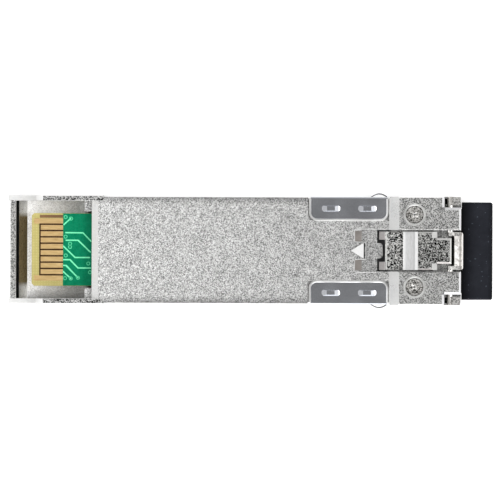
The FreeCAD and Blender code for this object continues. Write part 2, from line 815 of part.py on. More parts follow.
# ------------------------------------------------------------------------ shielding collar
def emi_collar():
    """Sheet-metal collar wrapped round the body, with embossed tabs and bowed fingers."""
    def ring(name, outer_y, bottom, top, radius, start, end):
        block = box(name, (start, end), (f"-({outer_y})", outer_y), (bottom, top))
        return rounded(name + "_bent", block, radius,
                       lambda middle, way: abs(way.x) > 1)

    shell = cut("collar_shell",
                ring("collar_outside", "collar_outer", "collar_bottom", "collar_top",
                     "collar_bend", "collar_start", "collar_end"),
                ring("collar_inside", "collar_outer - collar_thickness",
                     "collar_bottom + collar_thickness", "collar_top - collar_thickness",
                     "collar_bend - collar_thickness", "collar_start - reach", "collar_end + reach"),
                box("collar_mouth", ("collar_start - reach", "collar_end + reach"),
                    ("-collar_gap", "collar_gap"), ("collar_top - reach", "collar_top + reach")))
    cuts = []

    def side_gap(name, side):
        return box(name, ("finger_start", "collar_end + reach"),
                   side("collar_outer - overlap", "collar_outer + reach"),
                   ("side_gap_bottom", "side_gap_top"))

    cuts += both_sides(side_gap, "side_gap")
    for index in range(-2, 3):
        cuts.append(box(f"lid_slit_{index + 2}", ("finger_start", "collar_end + reach"),
                        (f"{index} * finger_pitch - slit_half",
                         f"{index} * finger_pitch + slit_half"),
                        ("-reach", "reach")))
    band = rounded("collar_tabs", cut("collar_band", shell, *cuts), "collar_corner",
                   lambda middle, way: abs(way.z) > 0.1 and middle.z > size("belly_inner")
                   and abs(abs(middle.y) - size("collar_gap")) < size("near"))
    pieces = [band]
    for number, station in enumerate(("bump_first", "bump_second")):
        def bump(name, side, station=station):
            low, high = side("bump_offset - bump_half_width", "bump_offset + bump_half_width")
            start, end = f"{station} - bump_half_length", f"{station} + bump_half_length"
            base, crown = "collar_top - collar_thickness / 2", "collar_top + bump_height"
            along = prism(name + "_along", "XZ", [
                (start, base), (start, "collar_top"), (f"{station} - bump_flat_half", crown),
                (f"{station} + bump_flat_half", crown), (end, "collar_top"), (end, base)],
                low, high)
            across = prism(name + "_across", "YZ", [
                (low, base), (low, "collar_top"), (f"{low} + bump_side_slope", crown),
                (f"{high} - bump_side_slope", crown), (high, "collar_top"), (high, base)],
                start, end)
            plan = prism(name + "_plan", "XY", [
                (start, f"{low} + bump_corner"), (f"{start} + bump_corner", low),
                (f"{end} - bump_corner", low), (end, f"{low} + bump_corner"),
                (end, f"{high} - bump_corner"), (f"{end} - bump_corner", high),
                (f"{start} + bump_corner", high), (start, f"{high} - bump_corner")], base, crown)
            return common(name, common(name + "_ridge", along, across), plan)
        pieces += both_sides(bump, f"bump_{number}")
    steps = 6
    for finger in (-1, 0, 1):
        middle = f"finger_middle + {finger} * finger_pitch"

        def bow(name, side, middle=middle):
            sign = "" if name.endswith("left") else "-"
            outer, inner = [], []
            for step in range(steps + 1):
                along = step / steps
                rise = math.sin(math.pi * min(along * 0.93, 1.0))
                station = f"finger_start - near + {along} * finger_length"
                outer.append((station, f"{sign}(collar_outer + {rise:.4f} * finger_bulge)"))
                inner.append((station, f"{sign}(collar_outer - collar_thickness "
                                       f"+ {rise:.4f} * finger_bulge)"))
            return prism(name, "XY", outer + inner[::-1],
                         f"{middle} - finger_width / 2", f"{middle} + finger_width / 2")
        pieces += both_sides(bow, f"finger_{finger + 1}")
    subpart("emi_collar", fuse("emi_collar", *pieces))


# --------------------------------------------------------------------------- latch mechanism
def release_lever():
    """Sliding lever: fork under the cage tongue, slope, and neck against the bail."""
    blank = prism("lever_blank", "XZ", [
        ("lever_tip", "lever_underside"), ("lever_ramp_end", "lever_low_top"),
        ("lever_slope_start", "lever_low_top"), ("lever_slope_end", "lever_top"),
        ("lever_front", "lever_top"), ("lever_front", "lever_underside")],
        "-lever_half", "lever_half")
    cuts = [box("fork_slot", ("lever_tip - reach", "fork_base"), ("-fork_half", "fork_half"),
                ("lever_underside - reach", "lever_top + reach")),
            box("spring_pocket", ("spring_pocket_start", "spring_pocket_end"),
                ("-spring_pocket_half", "spring_pocket_half"),
                ("lever_underside - reach", "spring_pocket_top"))]

    def neck_side(name, side):
        return box(name, ("lever_step", "lever_front + reach"), side("lever_neck_half", "outside"),
                   ("lever_underside - reach", "lever_top + reach"))

    def step_chamfer(name, side):
        return prism(name, "XZ", [
            ("lever_step - lever_step_run", "lever_top"),
            ("lever_step", "lever_top - lever_step_drop"),
            ("lever_step", "lever_top + reach"),
            ("lever_step - lever_step_run", "lever_top + reach")],
            *side("lever_neck_half", "outside"))

    def edge_chamfer(name, side):
        inner, edge = bevel_ends(name, side, "lever_half", "lever_edge_run")
        return prism(name, "YZ", [
            (edge, "lever_top - lever_edge_drop"), (inner, "lever_top"),
            (inner, "lever_top + reach"), (edge, "lever_top + reach")],
            "lever_slope_end", "lever_step")

    def neck_chamfer(name, side):
        inner, edge = bevel_ends(name, side, "lever_neck_half", "lever_edge_run")
        return prism(name, "YZ", [
            (edge, "lever_top - lever_edge_drop"), (inner, "lever_top"),
            (inner, "lever_top + reach"), (edge, "lever_top + reach")],
            "lever_step", "lever_front + reach")

    for maker, name in ((neck_side, "neck_side"), (step_chamfer, "step_chamfer"),
                        (edge_chamfer, "edge_chamfer"), (neck_chamfer, "neck_chamfer")):
        cuts += both_sides(maker, name)
    cuts.append(prism("front_chamfer", "XZ", [
        ("lever_front - lever_edge_run", "lever_top"),
        ("lever_front", "lever_top - lever_edge_drop"),
        ("lever_front", "lever_top + reach"),
        ("lever_front - lever_edge_run", "lever_top + reach")], "-outside", "outside"))
    subpart("release_lever", cut("release_lever", blank, *cuts))


def lever_spring():
    """Return spring of the lever, as one closed ring for each of its turns."""
    rings = []
    for index in range(int(size("spring_turns"))):
        ring = doc.addObject("Part::Torus", f"spring_ring_{index}")
        ring.setExpression("Radius1", bound("spring_radius - spring_wire"))
        ring.setExpression("Radius2", bound("spring_wire"))
        ring.Placement = FreeCAD.Placement(V(0, 0, 0), AXIS_TURNS["x"])
        gap = "(spring_pocket_end - spring_post_end - 4 * spring_wire) / (spring_turns - 1)"
        rings.append(place(ring, f"spring_post_end + 2 * spring_wire + {index} * {gap}", "0",
                           "spring_height"))
    subpart("lever_spring", group("lever_spring", *rings))


def bail():
    """Bail: two shaft stubs, the cranked crossbar and the pull handle with its side arms."""
    centre = ("hinge_at", "hinge_height")

    def stub(name, side):
        low, high = side("leg_inner", "arm_outer")
        return cylinder(name, "y", low, high, "shaft_radius", centre)

    subpart("bail_shafts", group("bail_shafts", *both_sides(stub, "shaft")))

    def leg(name, side):
        low, high = side("leg_inner", "leg_outer")
        plate = prism(name + "_plate", "XZ", [
            ("hinge_at", "hinge_height - leg_reach"),
            ("hinge_at - leg_rear", "hinge_height + leg_reach"),
            ("hinge_at - leg_rear", "leg_hook_top - crossbar_round"),
            ("hinge_at - leg_rear + crossbar_round", "leg_hook_top"),
            ("crossbar_start", "crossbar_top"), ("crossbar_valley_end", "crossbar_top"),
            ("crossbar_valley_end", "crossbar_bottom"),
            ("hinge_at + leg_reach", "hinge_height - leg_reach")],
            low, high)
        return cut(name, plate, cylinder(name + "_bore", "y", low, high, "shaft_radius", centre))

    bar = prism("crossbar", "XZ", [
        ("crossbar_start", "crossbar_bottom"), ("crossbar_start", "crossbar_top - crossbar_round"),
        ("crossbar_start + crossbar_round", "crossbar_top"),
        ("crossbar_valley_start - crossbar_round", "crossbar_top"),
        ("crossbar_valley_start", "crossbar_top - crossbar_round"),
        ("crossbar_valley_start", "crossbar_valley_top"),
        ("crossbar_valley_end", "crossbar_valley_top"),
        ("crossbar_valley_end", "crossbar_top - crossbar_round"),
        ("crossbar_valley_end + crossbar_round", "crossbar_top"),
        ("crossbar_end - crossbar_chamfer", "crossbar_top"),
        ("crossbar_end", "crossbar_top - crossbar_chamfer"), ("crossbar_end", "crossbar_bottom")],
        "-leg_outer", "leg_outer")
    bar = rounded("crossbar_rounded", bar, "crossbar_corner",
                  lambda middle, way: middle.x > size("crossbar_end - near") and abs(way.z) > 0.1
                  and abs(way.x) < 0.01)
    crank = fuse("crank_blank", bar, *both_sides(leg, "leg"))
    subpart("bail_crank", cut("bail_crank", crank,
                              cylinder("crank_bore", "y", "-leg_outer - reach", "leg_outer + reach",
                                       "shaft_radius", centre)))

    def arm(name, side):
        low, high = side("arm_inner", "arm_outer")
        strip = box(name + "_strip", ("arm_start", "arm_end"), (low, high),
                    ("handle_bottom", "arm_top"))
        hub = box(name + "_hub", ("arm_start", "arm_end"), side("hub_block_inner", "arm_outer"),
                  ("hub_block_bottom", "arm_top"))
        return fuse(name, strip, hub)

    pull = box("handle_bar", ("handle_start", "arm_end"), ("-arm_outer", "arm_outer"),
               ("handle_bottom", "handle_top"))
    blank = fuse("handle_blank", pull, *both_sides(arm, "arm"))
    bore = cylinder("handle_bore", "y", "-arm_outer - reach", "arm_outer + reach", "shaft_radius", centre)
    subpart("bail_handle", cut("bail_handle", blank, bore))


# ---------------------------------------------------------------------------- optical parts
def lc_receptacle():
    """Moulded insert with the two optical ports."""
    block = box("receptacle_block", ("receptacle_rear", "front_wall_start"),
                ("receptacle_clearance - wall_inner", "wall_inner - receptacle_clearance"),
                ("receptacle_bottom", "belly_inner - receptacle_clearance"))
    cuts = []
    for label, sign in (("left", ""), ("right", "-")):
        y_centre = f"{sign}port_pitch / 2"
        cuts.append(port_window(f"port_{label}", y_centre, "receptacle_rear + receptacle_wall",
                                "front_wall_start + reach"))
        cuts.append(cylinder(f"barrel_hole_{label}", "x", "receptacle_rear - reach",
                             "receptacle_rear + 2 * receptacle_wall", "retainer_bore",
                             (y_centre, "axis_height")))
        cuts.append(cylinder(f"thread_{label}", "z", "screw_tip - near", "belly_inner",
                             "screw_shank_radius", ("screw_at", f"{sign}screw_offset")))
    subpart("lc_receptacle", cut("lc_receptacle", block, *cuts))


def dust_plug():
    """Duplex dust plug: one head and two hollow square prongs."""
    head = prism("plug_head", "XZ", [
        ("plug_start", "plug_bottom"), ("plug_start", "plug_top"), ("overall_length", "plug_top"),
        ("overall_length", "plug_toe_height"), ("plug_toe_start", "plug_bottom")],
        "-plug_half", "plug_half")
    head = rounded("plug_head_rounded", head, "plug_edge",
                   lambda middle, way: middle.x > size("overall_length - near")
                   or (abs(way.x) > 1 and middle.z > size("plug_top - near")))
    prongs = []
    for label, sign in (("left", ""), ("right", "-")):
        middle = f"{sign}port_pitch / 2"
        outer = box(f"prong_block_{label}", ("prong_tip", "plug_start + overlap"),
                    (f"{middle} - prong_half", f"{middle} + prong_half"),
                    ("axis_height - prong_half", "axis_height + prong_half"))
        inner = box(f"prong_hollow_{label}", ("prong_tip - reach", "plug_start - overlap"),
                    (f"{middle} - prong_inner", f"{middle} + prong_inner"),
                    ("axis_height - prong_inner", "axis_height + prong_inner"))
        prongs.append(cut(f"prong_{label}", outer, inner))
    subpart("dust_plug", fuse("dust_plug", head, *prongs))


def optical_assemblies():
    """Transmit and receive cans, barrels, sleeves, stubs and the retainer plate."""
    sleeves, stubs = [], []
    for name, sign in (("tosa", ""), ("rosa", "-")):
        offset = f"{sign}port_pitch / 2"
        can = revolved_body(f"{name}_can", [
            ("header_rear", "0"), ("header_rear", "header_radius"), ("can_rear", "header_radius"),
            ("can_rear", "can_step_radius"), ("can_step", "can_step_radius"),
            ("can_step", "can_radius"), ("can_front", "can_radius"), ("can_front", "0")],
            "axis_height", offset)
        subpart(f"{name}_can", can)
        barrel = revolved_body(f"{name}_barrel", [
            ("barrel_rear", "0"), ("barrel_rear", "barrel_radius"),
            ("barrel_tip - barrel_lead", "barrel_radius"),
            ("barrel_tip", "barrel_radius - barrel_lead"),
            ("barrel_tip", "barrel_cavity"), ("barrel_cavity_rear", "barrel_cavity"),
            ("barrel_cavity_rear", "stub_bore"), ("stub_rear", "stub_bore"),
            ("stub_rear", "0")], "axis_height", offset)
        subpart(f"{name}_barrel", barrel)
        sleeves.append(revolved_body(f"{name}_sleeve", [
            ("barrel_cavity_rear + sleeve_gap", "sleeve_bore"),
            ("barrel_cavity_rear + sleeve_gap", "sleeve_radius"),
            ("sleeve_tip", "sleeve_radius"), ("sleeve_tip", "sleeve_bore")],
            "axis_height", offset))
        stubs.append(cylinder(f"{name}_stub", "x", "stub_rear", "barrel_cavity_rear",
                              "stub_radius", (offset, "axis_height")))
    subpart("alignment_sleeves", group("alignment_sleeves", *sleeves))
    subpart("ferrule_stubs", group("ferrule_stubs", *stubs))
    plate = box("retainer_plate", ("can_front", "retainer_end"),
                ("-retainer_half", "retainer_half"), ("retainer_bottom", "retainer_top"))
    holes = [cylinder(f"retainer_hole_{label}", "x", "can_front - reach", "retainer_end + reach",
                      "retainer_bore", (f"{sign}port_pitch / 2", "axis_height"))
             for label, sign in (("left", ""), ("right", "-"))]
    subpart("osa_retainer", cut("osa_retainer", plate, *holes))


# ------------------------------------------------------------------------------ electronics
def circuit_board():
    """Circuit board with its narrow card edge, and the gold contacts on both faces."""
    board = pad_body("circuit_board", "XY", [
        ("board_rear + board_corner", "-board_half"), ("board_shoulder", "-board_half"),
        ("board_shoulder", "-board_inner_half"), ("board_front", "-board_inner_half"),
        ("board_front", "board_inner_half"), ("board_shoulder", "board_inner_half"),
        ("board_shoulder", "board_half"), ("board_rear + board_corner", "board_half"),
        ("board_rear", "board_half - board_corner"), ("board_rear", "board_corner - board_half")],
        "board_bottom", "board_bottom + board_thickness")
    subpart("circuit_board", board)
    faces = {
        "contacts_latch_side": ("board_bottom + board_thickness",
                                "board_bottom + board_thickness + contact_thickness"),
        "contacts_lid_side": ("board_bottom - contact_thickness", "board_bottom"),
    }
    for name, height in faces.items():
        pads = []
        for index in range(10):
            middle = f"({index} - 4.5) * contact_pitch"
            start = "contact_long_start" if index in (0, 9) else "contact_start"
            pads.append(box(f"{name}_{index}", (start, "contact_end"),
                            (f"{middle} - contact_width / 2", f"{middle} + contact_width / 2"),
                            height))
        subpart(name, group(name, *pads))


def chip(label, x, y, z):
    """Moulded package: a padded rectangle with a chamfered upper rim."""
    body = pad_body(label, "XY", [(x[0], y[0]), (x[1], y[0]), (x[1], y[1]), (x[0], y[1])],
                    z[0], z[1])
    doc.recompute()
    pad = body.Tip
    outer = size(z[1]) if size(z[0]) > size("board_bottom") else size(z[0])
    rim = [f"Edge{number}" for number in
           edges_at(pad.Shape, lambda middle, way: abs(middle.z - outer) < 0.01)]
    bevel = body.newObject("PartDesign::Chamfer", label + "_rim")
    bevel.Base = (pad, rim)
    bevel.setExpression("Size", bound("chip_rim"))
    body.Tip = bevel
    subpart(label, body)


def electronics():
    """Packages on both faces of the board, the gap pad and the two flexible circuits."""
    top = "board_bottom + board_thickness"
    driver_plan = (("driver_start", "driver_end"), ("-chip_half", "chip_half"))
    chip("laser_driver_chip", *driver_plan, ("board_bottom - pad_height", "board_bottom"))
    upper_chips = {
        "microcontroller_chip": (("controller_start", "controller_end"),
                                 ("-chip_half", "chip_half")),
        "limiting_amplifier_chip": (("amplifier_start", "amplifier_end"),
                                    ("amplifier_low", "amplifier_high")),
        "memory_chip": (("memory_start", "memory_end"), ("memory_low", "memory_high")),
    }
    for label, plan in upper_chips.items():
        chip(label, *plan, (top, f"{top} + chip_height"))
    subpart("thermal_pad", box("thermal_pad", *driver_plan,
                               ("pedestal_top", "board_bottom - pad_height")))
    passives = []
    for column in range(4):
        for row in range(5):
            x_low = f"passive_start + {column} * passive_pitch"
            y_low = f"passive_row_start + {row} * passive_row_pitch"
            passives.append(box(f"passive_{column}_{row}", (x_low, f"{x_low} + passive_length"),
                                (y_low, f"{y_low} + passive_width"),
                                ("board_bottom - passive_height", "board_bottom")))
    subpart("capacitors", group("capacitors", *passives))
    for name, sign in (("tosa", ""), ("rosa", "-")):
        middle = f"{sign}port_pitch / 2"
        flex = prism(f"{name}_flex", "XZ", [
            ("flex_start", top), ("flex_start", f"{top} + flex_thickness"),
            ("header_rear", f"{top} + flex_thickness"), ("header_rear", "flex_bottom"),
            ("header_rear - flex_thickness", "flex_bottom"), ("header_rear - flex_thickness", top)],
            f"{middle} - flex_half", f"{middle} + flex_half")
        subpart(f"{name}_flex", flex)


top_cover()
base_housing()
housing_screws()
emi_collar()
release_lever()
lever_spring()
bail()
lc_receptacle()
dust_plug()
optical_assemblies()
circuit_board()
electronics()
doc.recompute()

for item in doc.Objects:
    if "Invalid" in item.State or "Error" in item.State:
        raise RuntimeError(f"{item.Name} did not recompute: {item.State}")
os.makedirs("parts", exist_ok=True)
for item in SUBPARTS:
    if item.Shape.isNull() or not item.Shape.isValid():
        raise RuntimeError(f"{item.Label} has no valid shape")
    item.Shape.exportStep(f"parts/{item.Label}.step")
    bounds = item.Shape.BoundBox
    print(f"{item.Label}: {item.Shape.Volume:.2f} mm3, {len(item.Shape.Solids)} solids, "
          f"x {bounds.XMin:.2f}..{bounds.XMax:.2f} z {bounds.ZMin:.2f}..{bounds.ZMax:.2f}")
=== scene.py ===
"""Looks of the optical transceiver module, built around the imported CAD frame.

Lengths here are millimetres in the module's own terms: a station is the distance from the
rear face, Y runs across the module and Z is the height over the lid's outer face.
"""
import math

import bmesh
import bpy
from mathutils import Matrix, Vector


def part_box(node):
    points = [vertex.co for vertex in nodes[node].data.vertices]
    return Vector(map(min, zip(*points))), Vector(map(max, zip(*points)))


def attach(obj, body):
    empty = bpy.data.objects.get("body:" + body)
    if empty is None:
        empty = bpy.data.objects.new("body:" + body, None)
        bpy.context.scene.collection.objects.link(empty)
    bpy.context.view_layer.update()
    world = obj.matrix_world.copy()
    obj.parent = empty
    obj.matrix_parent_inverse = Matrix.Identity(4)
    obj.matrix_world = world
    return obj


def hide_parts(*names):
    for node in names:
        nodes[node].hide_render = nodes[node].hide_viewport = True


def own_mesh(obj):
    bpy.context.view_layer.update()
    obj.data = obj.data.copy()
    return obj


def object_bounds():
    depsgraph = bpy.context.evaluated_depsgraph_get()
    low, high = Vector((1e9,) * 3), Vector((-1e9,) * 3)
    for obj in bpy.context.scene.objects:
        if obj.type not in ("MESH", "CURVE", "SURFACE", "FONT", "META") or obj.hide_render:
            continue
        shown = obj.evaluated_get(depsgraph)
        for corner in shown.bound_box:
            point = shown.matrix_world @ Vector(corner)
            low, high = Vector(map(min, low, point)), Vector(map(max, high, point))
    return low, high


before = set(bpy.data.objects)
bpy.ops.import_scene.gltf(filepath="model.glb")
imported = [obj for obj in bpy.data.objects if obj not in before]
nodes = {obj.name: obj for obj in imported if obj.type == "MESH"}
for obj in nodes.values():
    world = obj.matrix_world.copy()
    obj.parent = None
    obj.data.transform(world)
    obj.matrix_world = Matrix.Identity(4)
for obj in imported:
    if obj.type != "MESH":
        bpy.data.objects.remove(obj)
cad_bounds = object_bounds()

MM = 0.001
REAR_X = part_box("top_cover")[0].x
BOARD_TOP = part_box("circuit_board")[1].z / MM
BOARD_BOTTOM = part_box("circuit_board")[0].z / MM
NOSE_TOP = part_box("base_housing")[1].z / MM
BELLY_TOP = 8.5
BODY_WIDTH = 13.4
SKIRT_INNER = 6.2
GROOVE_FOOT, GROOVE_CREST = 1.36, 2.31
SLOPE_START, SLOPE_END = 50.0, 51.85
HUB_END = 56.02
NOSE_FRONT = 57.3
HEAD_FRONT = 61.3
# Sockets of the Mix node when it mixes colours.
MIX_FACTOR, MIX_FIRST, MIX_SECOND, MIX_RESULT = 0, 6, 7, 2


def point(station, y, z):
    """A place in the frame, in metres."""
    return Vector((REAR_X + station * MM, y * MM, z * MM))


def station_of(x):
    """Distance from the rear face, in millimetres, of a frame X in metres."""
    return (x - REAR_X) / MM


# ---------------------------------------------------------------------------- materials
def set_stops(ramp, stops):
    """Fill a colour ramp with (position, colour) stops; a number stands for a grey."""
    elements = ramp.color_ramp.elements
    while len(elements) < len(stops):
        elements.new(0.5)
    for element, (position, colour) in zip(elements, stops):
        element.position = position
        grey = isinstance(colour, (int, float))
        element.color = (colour, colour, colour, 1) if grey else (*colour, 1)


class Shader:
    """A Principled material and short ways to add nodes to it."""

    def __init__(self, name, colour, metallic=0.0, roughness=0.5, **sockets):
        self.material = bpy.data.materials.new(name)
        self.material.use_nodes = True
        self.tree = self.material.node_tree
        self.surface = self.tree.nodes["Principled BSDF"]
        self.set(self.surface, "Base Color", (*colour, 1.0))
        self.set(self.surface, "Metallic", metallic)
        self.set(self.surface, "Roughness", roughness)
        for socket, value in sockets.items():
            self.set(self.surface, socket.replace("_", " "), value)
        self.place = self.tree.nodes.new("ShaderNodeTexCoord").outputs["Object"]

    @staticmethod
    def set(node, socket, value):
        node.inputs[socket].default_value = value

    def node(self, kind, inputs=None, **settings):
        made = self.tree.nodes.new(kind)
        for name, value in settings.items():
            setattr(made, name, value)
        for socket, value in (inputs or {}).items():
            if isinstance(value, bpy.types.NodeSocket):
                self.tree.links.new(value, made.inputs[socket])
            else:
                made.inputs[socket].default_value = value
        return made

    def noise(self, per_mm, detail=2.0, roughness=0.55, stretch=(1, 1, 1)):
        """Noise with a number of features per millimetre."""
        where = self.place
        if stretch != (1, 1, 1):
            where = self.node("ShaderNodeMapping", {"Vector": where, "Scale": stretch}).outputs[0]
        made = self.node("ShaderNodeTexNoise", {"Vector": where, "Scale": per_mm / MM,
                                                "Detail": detail, "Roughness": roughness})
        return made.outputs["Fac"]

    def cells(self, per_mm):
        """A random grey for each small cell."""
        made = self.node("ShaderNodeTexVoronoi", {"Vector": self.place, "Scale": per_mm / MM})
        return self.node("ShaderNodeSeparateColor", {0: made.outputs["Color"]}).outputs[0]

    def ramp(self, factor, stops):
        """Colour ramp over (position, colour) stops."""
        made = self.node("ShaderNodeValToRGB", {"Fac": factor})
        set_stops(made, stops)
        return made.outputs["Color"]

    def mix(self, factor, first, second):
        """One colour fading into another by a factor; the colours may be sockets or values."""
        made = self.node("ShaderNodeMix", data_type="RGBA")
        for number, value in ((MIX_FACTOR, factor), (MIX_FIRST, first), (MIX_SECOND, second)):
            if isinstance(value, bpy.types.NodeSocket):
                self.tree.links.new(value, made.inputs[number])
            else:
                made.inputs[number].default_value = (*value, 1.0)
        return made.outputs[MIX_RESULT]

    def along(self, start, end):
        """0 to 1 from one station to another."""
        x = self.node("ShaderNodeSeparateXYZ", {0: self.place}).outputs[0]
        shifted = self.maths("ADD", x, -(REAR_X + start * MM))
        return self.maths("MULTIPLY", shifted, 1 / ((end - start) * MM))

    def times(self, first, second):
        """Two colours multiplied."""
        made = self.node("ShaderNodeMix", {MIX_FACTOR: 1.0, MIX_FIRST: first, MIX_SECOND: second},
                         data_type="RGBA", blend_type="MULTIPLY")
        return made.outputs[MIX_RESULT]

    def maths(self, operation, first, second=0.0):
        return self.node("ShaderNodeMath", {0: first, 1: second}, operation=operation).outputs[0]

    def colour(self, value):
        self.tree.links.new(value, self.surface.inputs["Base Color"])

    def roughness(self, value):
        self.tree.links.new(value, self.surface.inputs["Roughness"])

    def bump(self, height, depth_mm, strength=1.0):
        """Raise the surface by a height between 0 and 1 times a depth."""
        made = self.node("ShaderNodeBump", {"Height": height, "Distance": depth_mm * MM,
                                            "Strength": strength})
        self.tree.links.new(made.outputs["Normal"], self.surface.inputs["Normal"])


def blasted_metal(name, dark, light, grain, depth, rough=(0.3, 0.55), tone=False, metallic=1.0,
                  across=None, end=None, spread=(0.39, 0.58)):
    """Bead-blasted plating: every grain catches the light its own way.

    With tone set, painted shade darkens it toward the nose and along the two long edges. Stops
    given as across paint shade over the width, from -Y to +Y, and past the end station a painted
    shadow makes it black.
    """
    shader = Shader(name, light, metallic=metallic, roughness=0.4)
    fine = shader.noise(grain, detail=1.0, roughness=0.6)
    speck_ratio, mottle_ratio = 1.3, 12
    fine_share, speck_share = 0.6, 0.4
    speck = shader.cells(grain * speck_ratio)
    mottle = shader.noise(grain / mottle_ratio, detail=2.0)
    mixed = shader.maths("ADD", shader.maths("MULTIPLY", fine, fine_share),
                         shader.maths("MULTIPLY", speck, speck_share))
    plating = shader.ramp(mixed, [(spread[0], dark), (spread[1], light)])
    factors = [shader.ramp(mottle, [(0.35, 0.88), (0.65, 1.0)])]
    y = shader.node("ShaderNodeSeparateXYZ", {0: shader.place}).outputs[1]
    # Across stops paint shade over the width, from -Y to +Y.
    if across:
        side = shader.maths("ADD", shader.maths("MULTIPLY", y, 1 / (BODY_WIDTH * MM)), 0.5)
        factors.append(shader.ramp(side, across))
    # Painted shadow: black past the end station.
    if end:
        fade = 0.1
        factors.append(shader.ramp(shader.along(end, end + fade), [(0.0, 1.0), (1.0, 0.02)]))
    # Painted shade: darker toward the nose and along both long edges, where the light falls off.
    if tone:
        factors.append(shader.ramp(shader.along(0, HEAD_FRONT),
                                   [(0.15, 1.0), (0.5, 0.84), (0.75, 0.68)]))
        edge = shader.maths("MULTIPLY", shader.maths("ABSOLUTE", y), 2 / (BODY_WIDTH * MM))
        factors.append(shader.ramp(edge, [(0.86, 1.0), (0.97, 0.62)]))
    for factor in factors:
        plating = shader.times(plating, factor)
    shader.colour(plating)
    shader.roughness(shader.ramp(speck, [(0.0, rough[0]), (1.0, rough[1])]))
    shader.bump(mixed, depth)
    return shader.material


def smooth_metal(name, colour, roughness, streaks=0.06, along=(0.25, 1, 1), metallic=1.0):
    """Machined or rolled metal with faint tool lines and handling marks."""
    shader = Shader(name, colour, metallic=metallic, roughness=roughness)
    lines = shader.noise(9, detail=3.0, stretch=along)
    smudge = shader.noise(0.5, detail=3.0)
    darker = tuple(c * (1 - 2 * streaks) for c in colour)
    shader.colour(shader.mix(shader.ramp(lines, [(0.35, 0.0), (0.7, 1.0)]), darker, colour))
    shader.roughness(shader.ramp(smudge, [(0.35, roughness * 0.8), (0.7, roughness * 1.25)]))
    shader.bump(lines, 0.002, 0.5)
    return shader.material


def groove_metal():
    """Smooth rear slope of the lid, with a painted brown reflection of the board's edge in the
    middle.
    """
    shader = Shader("groove_slope", (0.5, 0.49, 0.47), metallic=1.0, roughness=0.3)
    split = shader.node("ShaderNodeSeparateXYZ", {0: shader.place})
    edge = shader.maths("MULTIPLY", shader.maths("ABSOLUTE", split.outputs[1]),
                        1 / (SKIRT_INNER * MM))
    depth = shader.along(GROOVE_FOOT, GROOVE_CREST)
    grain = shader.noise(6, detail=2.0)
    # The board's edge painted in as a brown reflection, darker toward the crest.
    painted_reflection_tones = [shader.mix(depth, near_foot, near_crest) for near_foot, near_crest in
               (((0.2, 0.14, 0.065), (0.07, 0.05, 0.022)), ((0.72, 0.58, 0.33), (0.25, 0.2, 0.1)))]
    painted_board_reflection = shader.mix(grain, *painted_reflection_tones)
    grey = shader.mix(grain, (0.85, 0.84, 0.8), (1.0, 0.99, 0.96))
    shader.colour(shader.mix(shader.ramp(edge, [(0.66, 0.0), (0.76, 1.0)]), painted_board_reflection, grey))
    shader.tree.links.new(shader.ramp(depth, [(0.0, 0.45), (0.9, 1.0)]),
                          shader.surface.inputs["Metallic"])
    shader.roughness(shader.ramp(grain, [(0.3, 0.25), (0.7, 0.4)]))
    shader.bump(grain, 0.003, 0.5)
    return shader.material


def slope_metal():
    """Machined slope of the lever, brighter where it meets the two blasted levels."""
    shader = Shader("lever_machined", (0.4, 0.4, 0.395), metallic=1.0, roughness=0.42)
    lines = shader.noise(5, detail=3.0, stretch=(1, 0.3, 1))
    bands = shader.ramp(shader.along(SLOPE_START, SLOPE_END),
                        [(0.0, 0.5), (0.1, 0.44), (0.2, 0.34), (0.68, 0.31), (0.76, 0.26),
                         (0.84, 0.45), (1.0, 0.42)])
    shader.colour(shader.times(bands, shader.ramp(lines, [(0.3, 0.8), (0.6, 1.0)])))
    shader.roughness(shader.ramp(lines, [(0.35, 0.36), (0.7, 0.46)]))
    shader.bump(lines, 0.002, 0.5)
    return shader.material


def moulded(name, colour, roughness, grain=8, speck=0.0, depth=0.01, ends=None, **sockets):
    """Moulded plastic or rubber with a fine texture, and pale dust where speck says so.

    Stops given as ends paint shade along the plug's head, from the nose to its front.
    """
    shader = Shader(name, colour, roughness=roughness, **sockets)
    fine = shader.noise(grain, detail=2.0)
    cloud_ratio = 14
    cloud = shader.noise(grain / cloud_ratio, detail=3.0)
    lighter = tuple(min(1.0, c * 1.35 + 0.002) for c in colour)
    tone = shader.mix(shader.ramp(cloud, [(0.35, 0.0), (0.7, 1.0)]), colour, lighter)
    if speck:
        dust_per_mm = 3.6
        dust_colour = (0.3, 0.36, 0.45)
        dust = shader.ramp(shader.noise(dust_per_mm, detail=0.0), [(0.76, 0.0), (0.82, speck)])
        tone = shader.mix(dust, tone, dust_colour)
    # Painted shade along the plug's head.
    if ends:
        tone = shader.times(tone, shader.ramp(shader.along(NOSE_FRONT, HEAD_FRONT), ends))
    shader.colour(tone)
    shader.roughness(shader.ramp(fine, [(0.3, roughness * 0.85), (0.7, min(1, roughness * 1.15))]))
    shader.bump(fine, depth, 0.6)
    return shader.material


def laminate():
    """Bare glass-epoxy board with the weave of its cloth."""
    shader = Shader("bare_laminate", (0.55, 0.46, 0.16), roughness=0.5)
    threads_per_mm = 0.9
    warp, weft = (shader.node("ShaderNodeTexWave",
                              {"Vector": shader.place, "Scale": threads_per_mm / MM,
                               "Distortion": 0.6}, bands_direction=way) for way in "XY")
    weave = shader.maths("MULTIPLY", warp.outputs["Fac"], weft.outputs["Fac"])
    cloud = shader.mix(shader.noise(1.5, detail=2.0), (0.345, 0.295, 0.082), (0.455, 0.395, 0.138))
    shader.colour(shader.mix(shader.maths("MULTIPLY", weave, 0.3), cloud, (0.66, 0.58, 0.28)))
    shader.bump(weave, 0.004, 0.4)
    return shader.material


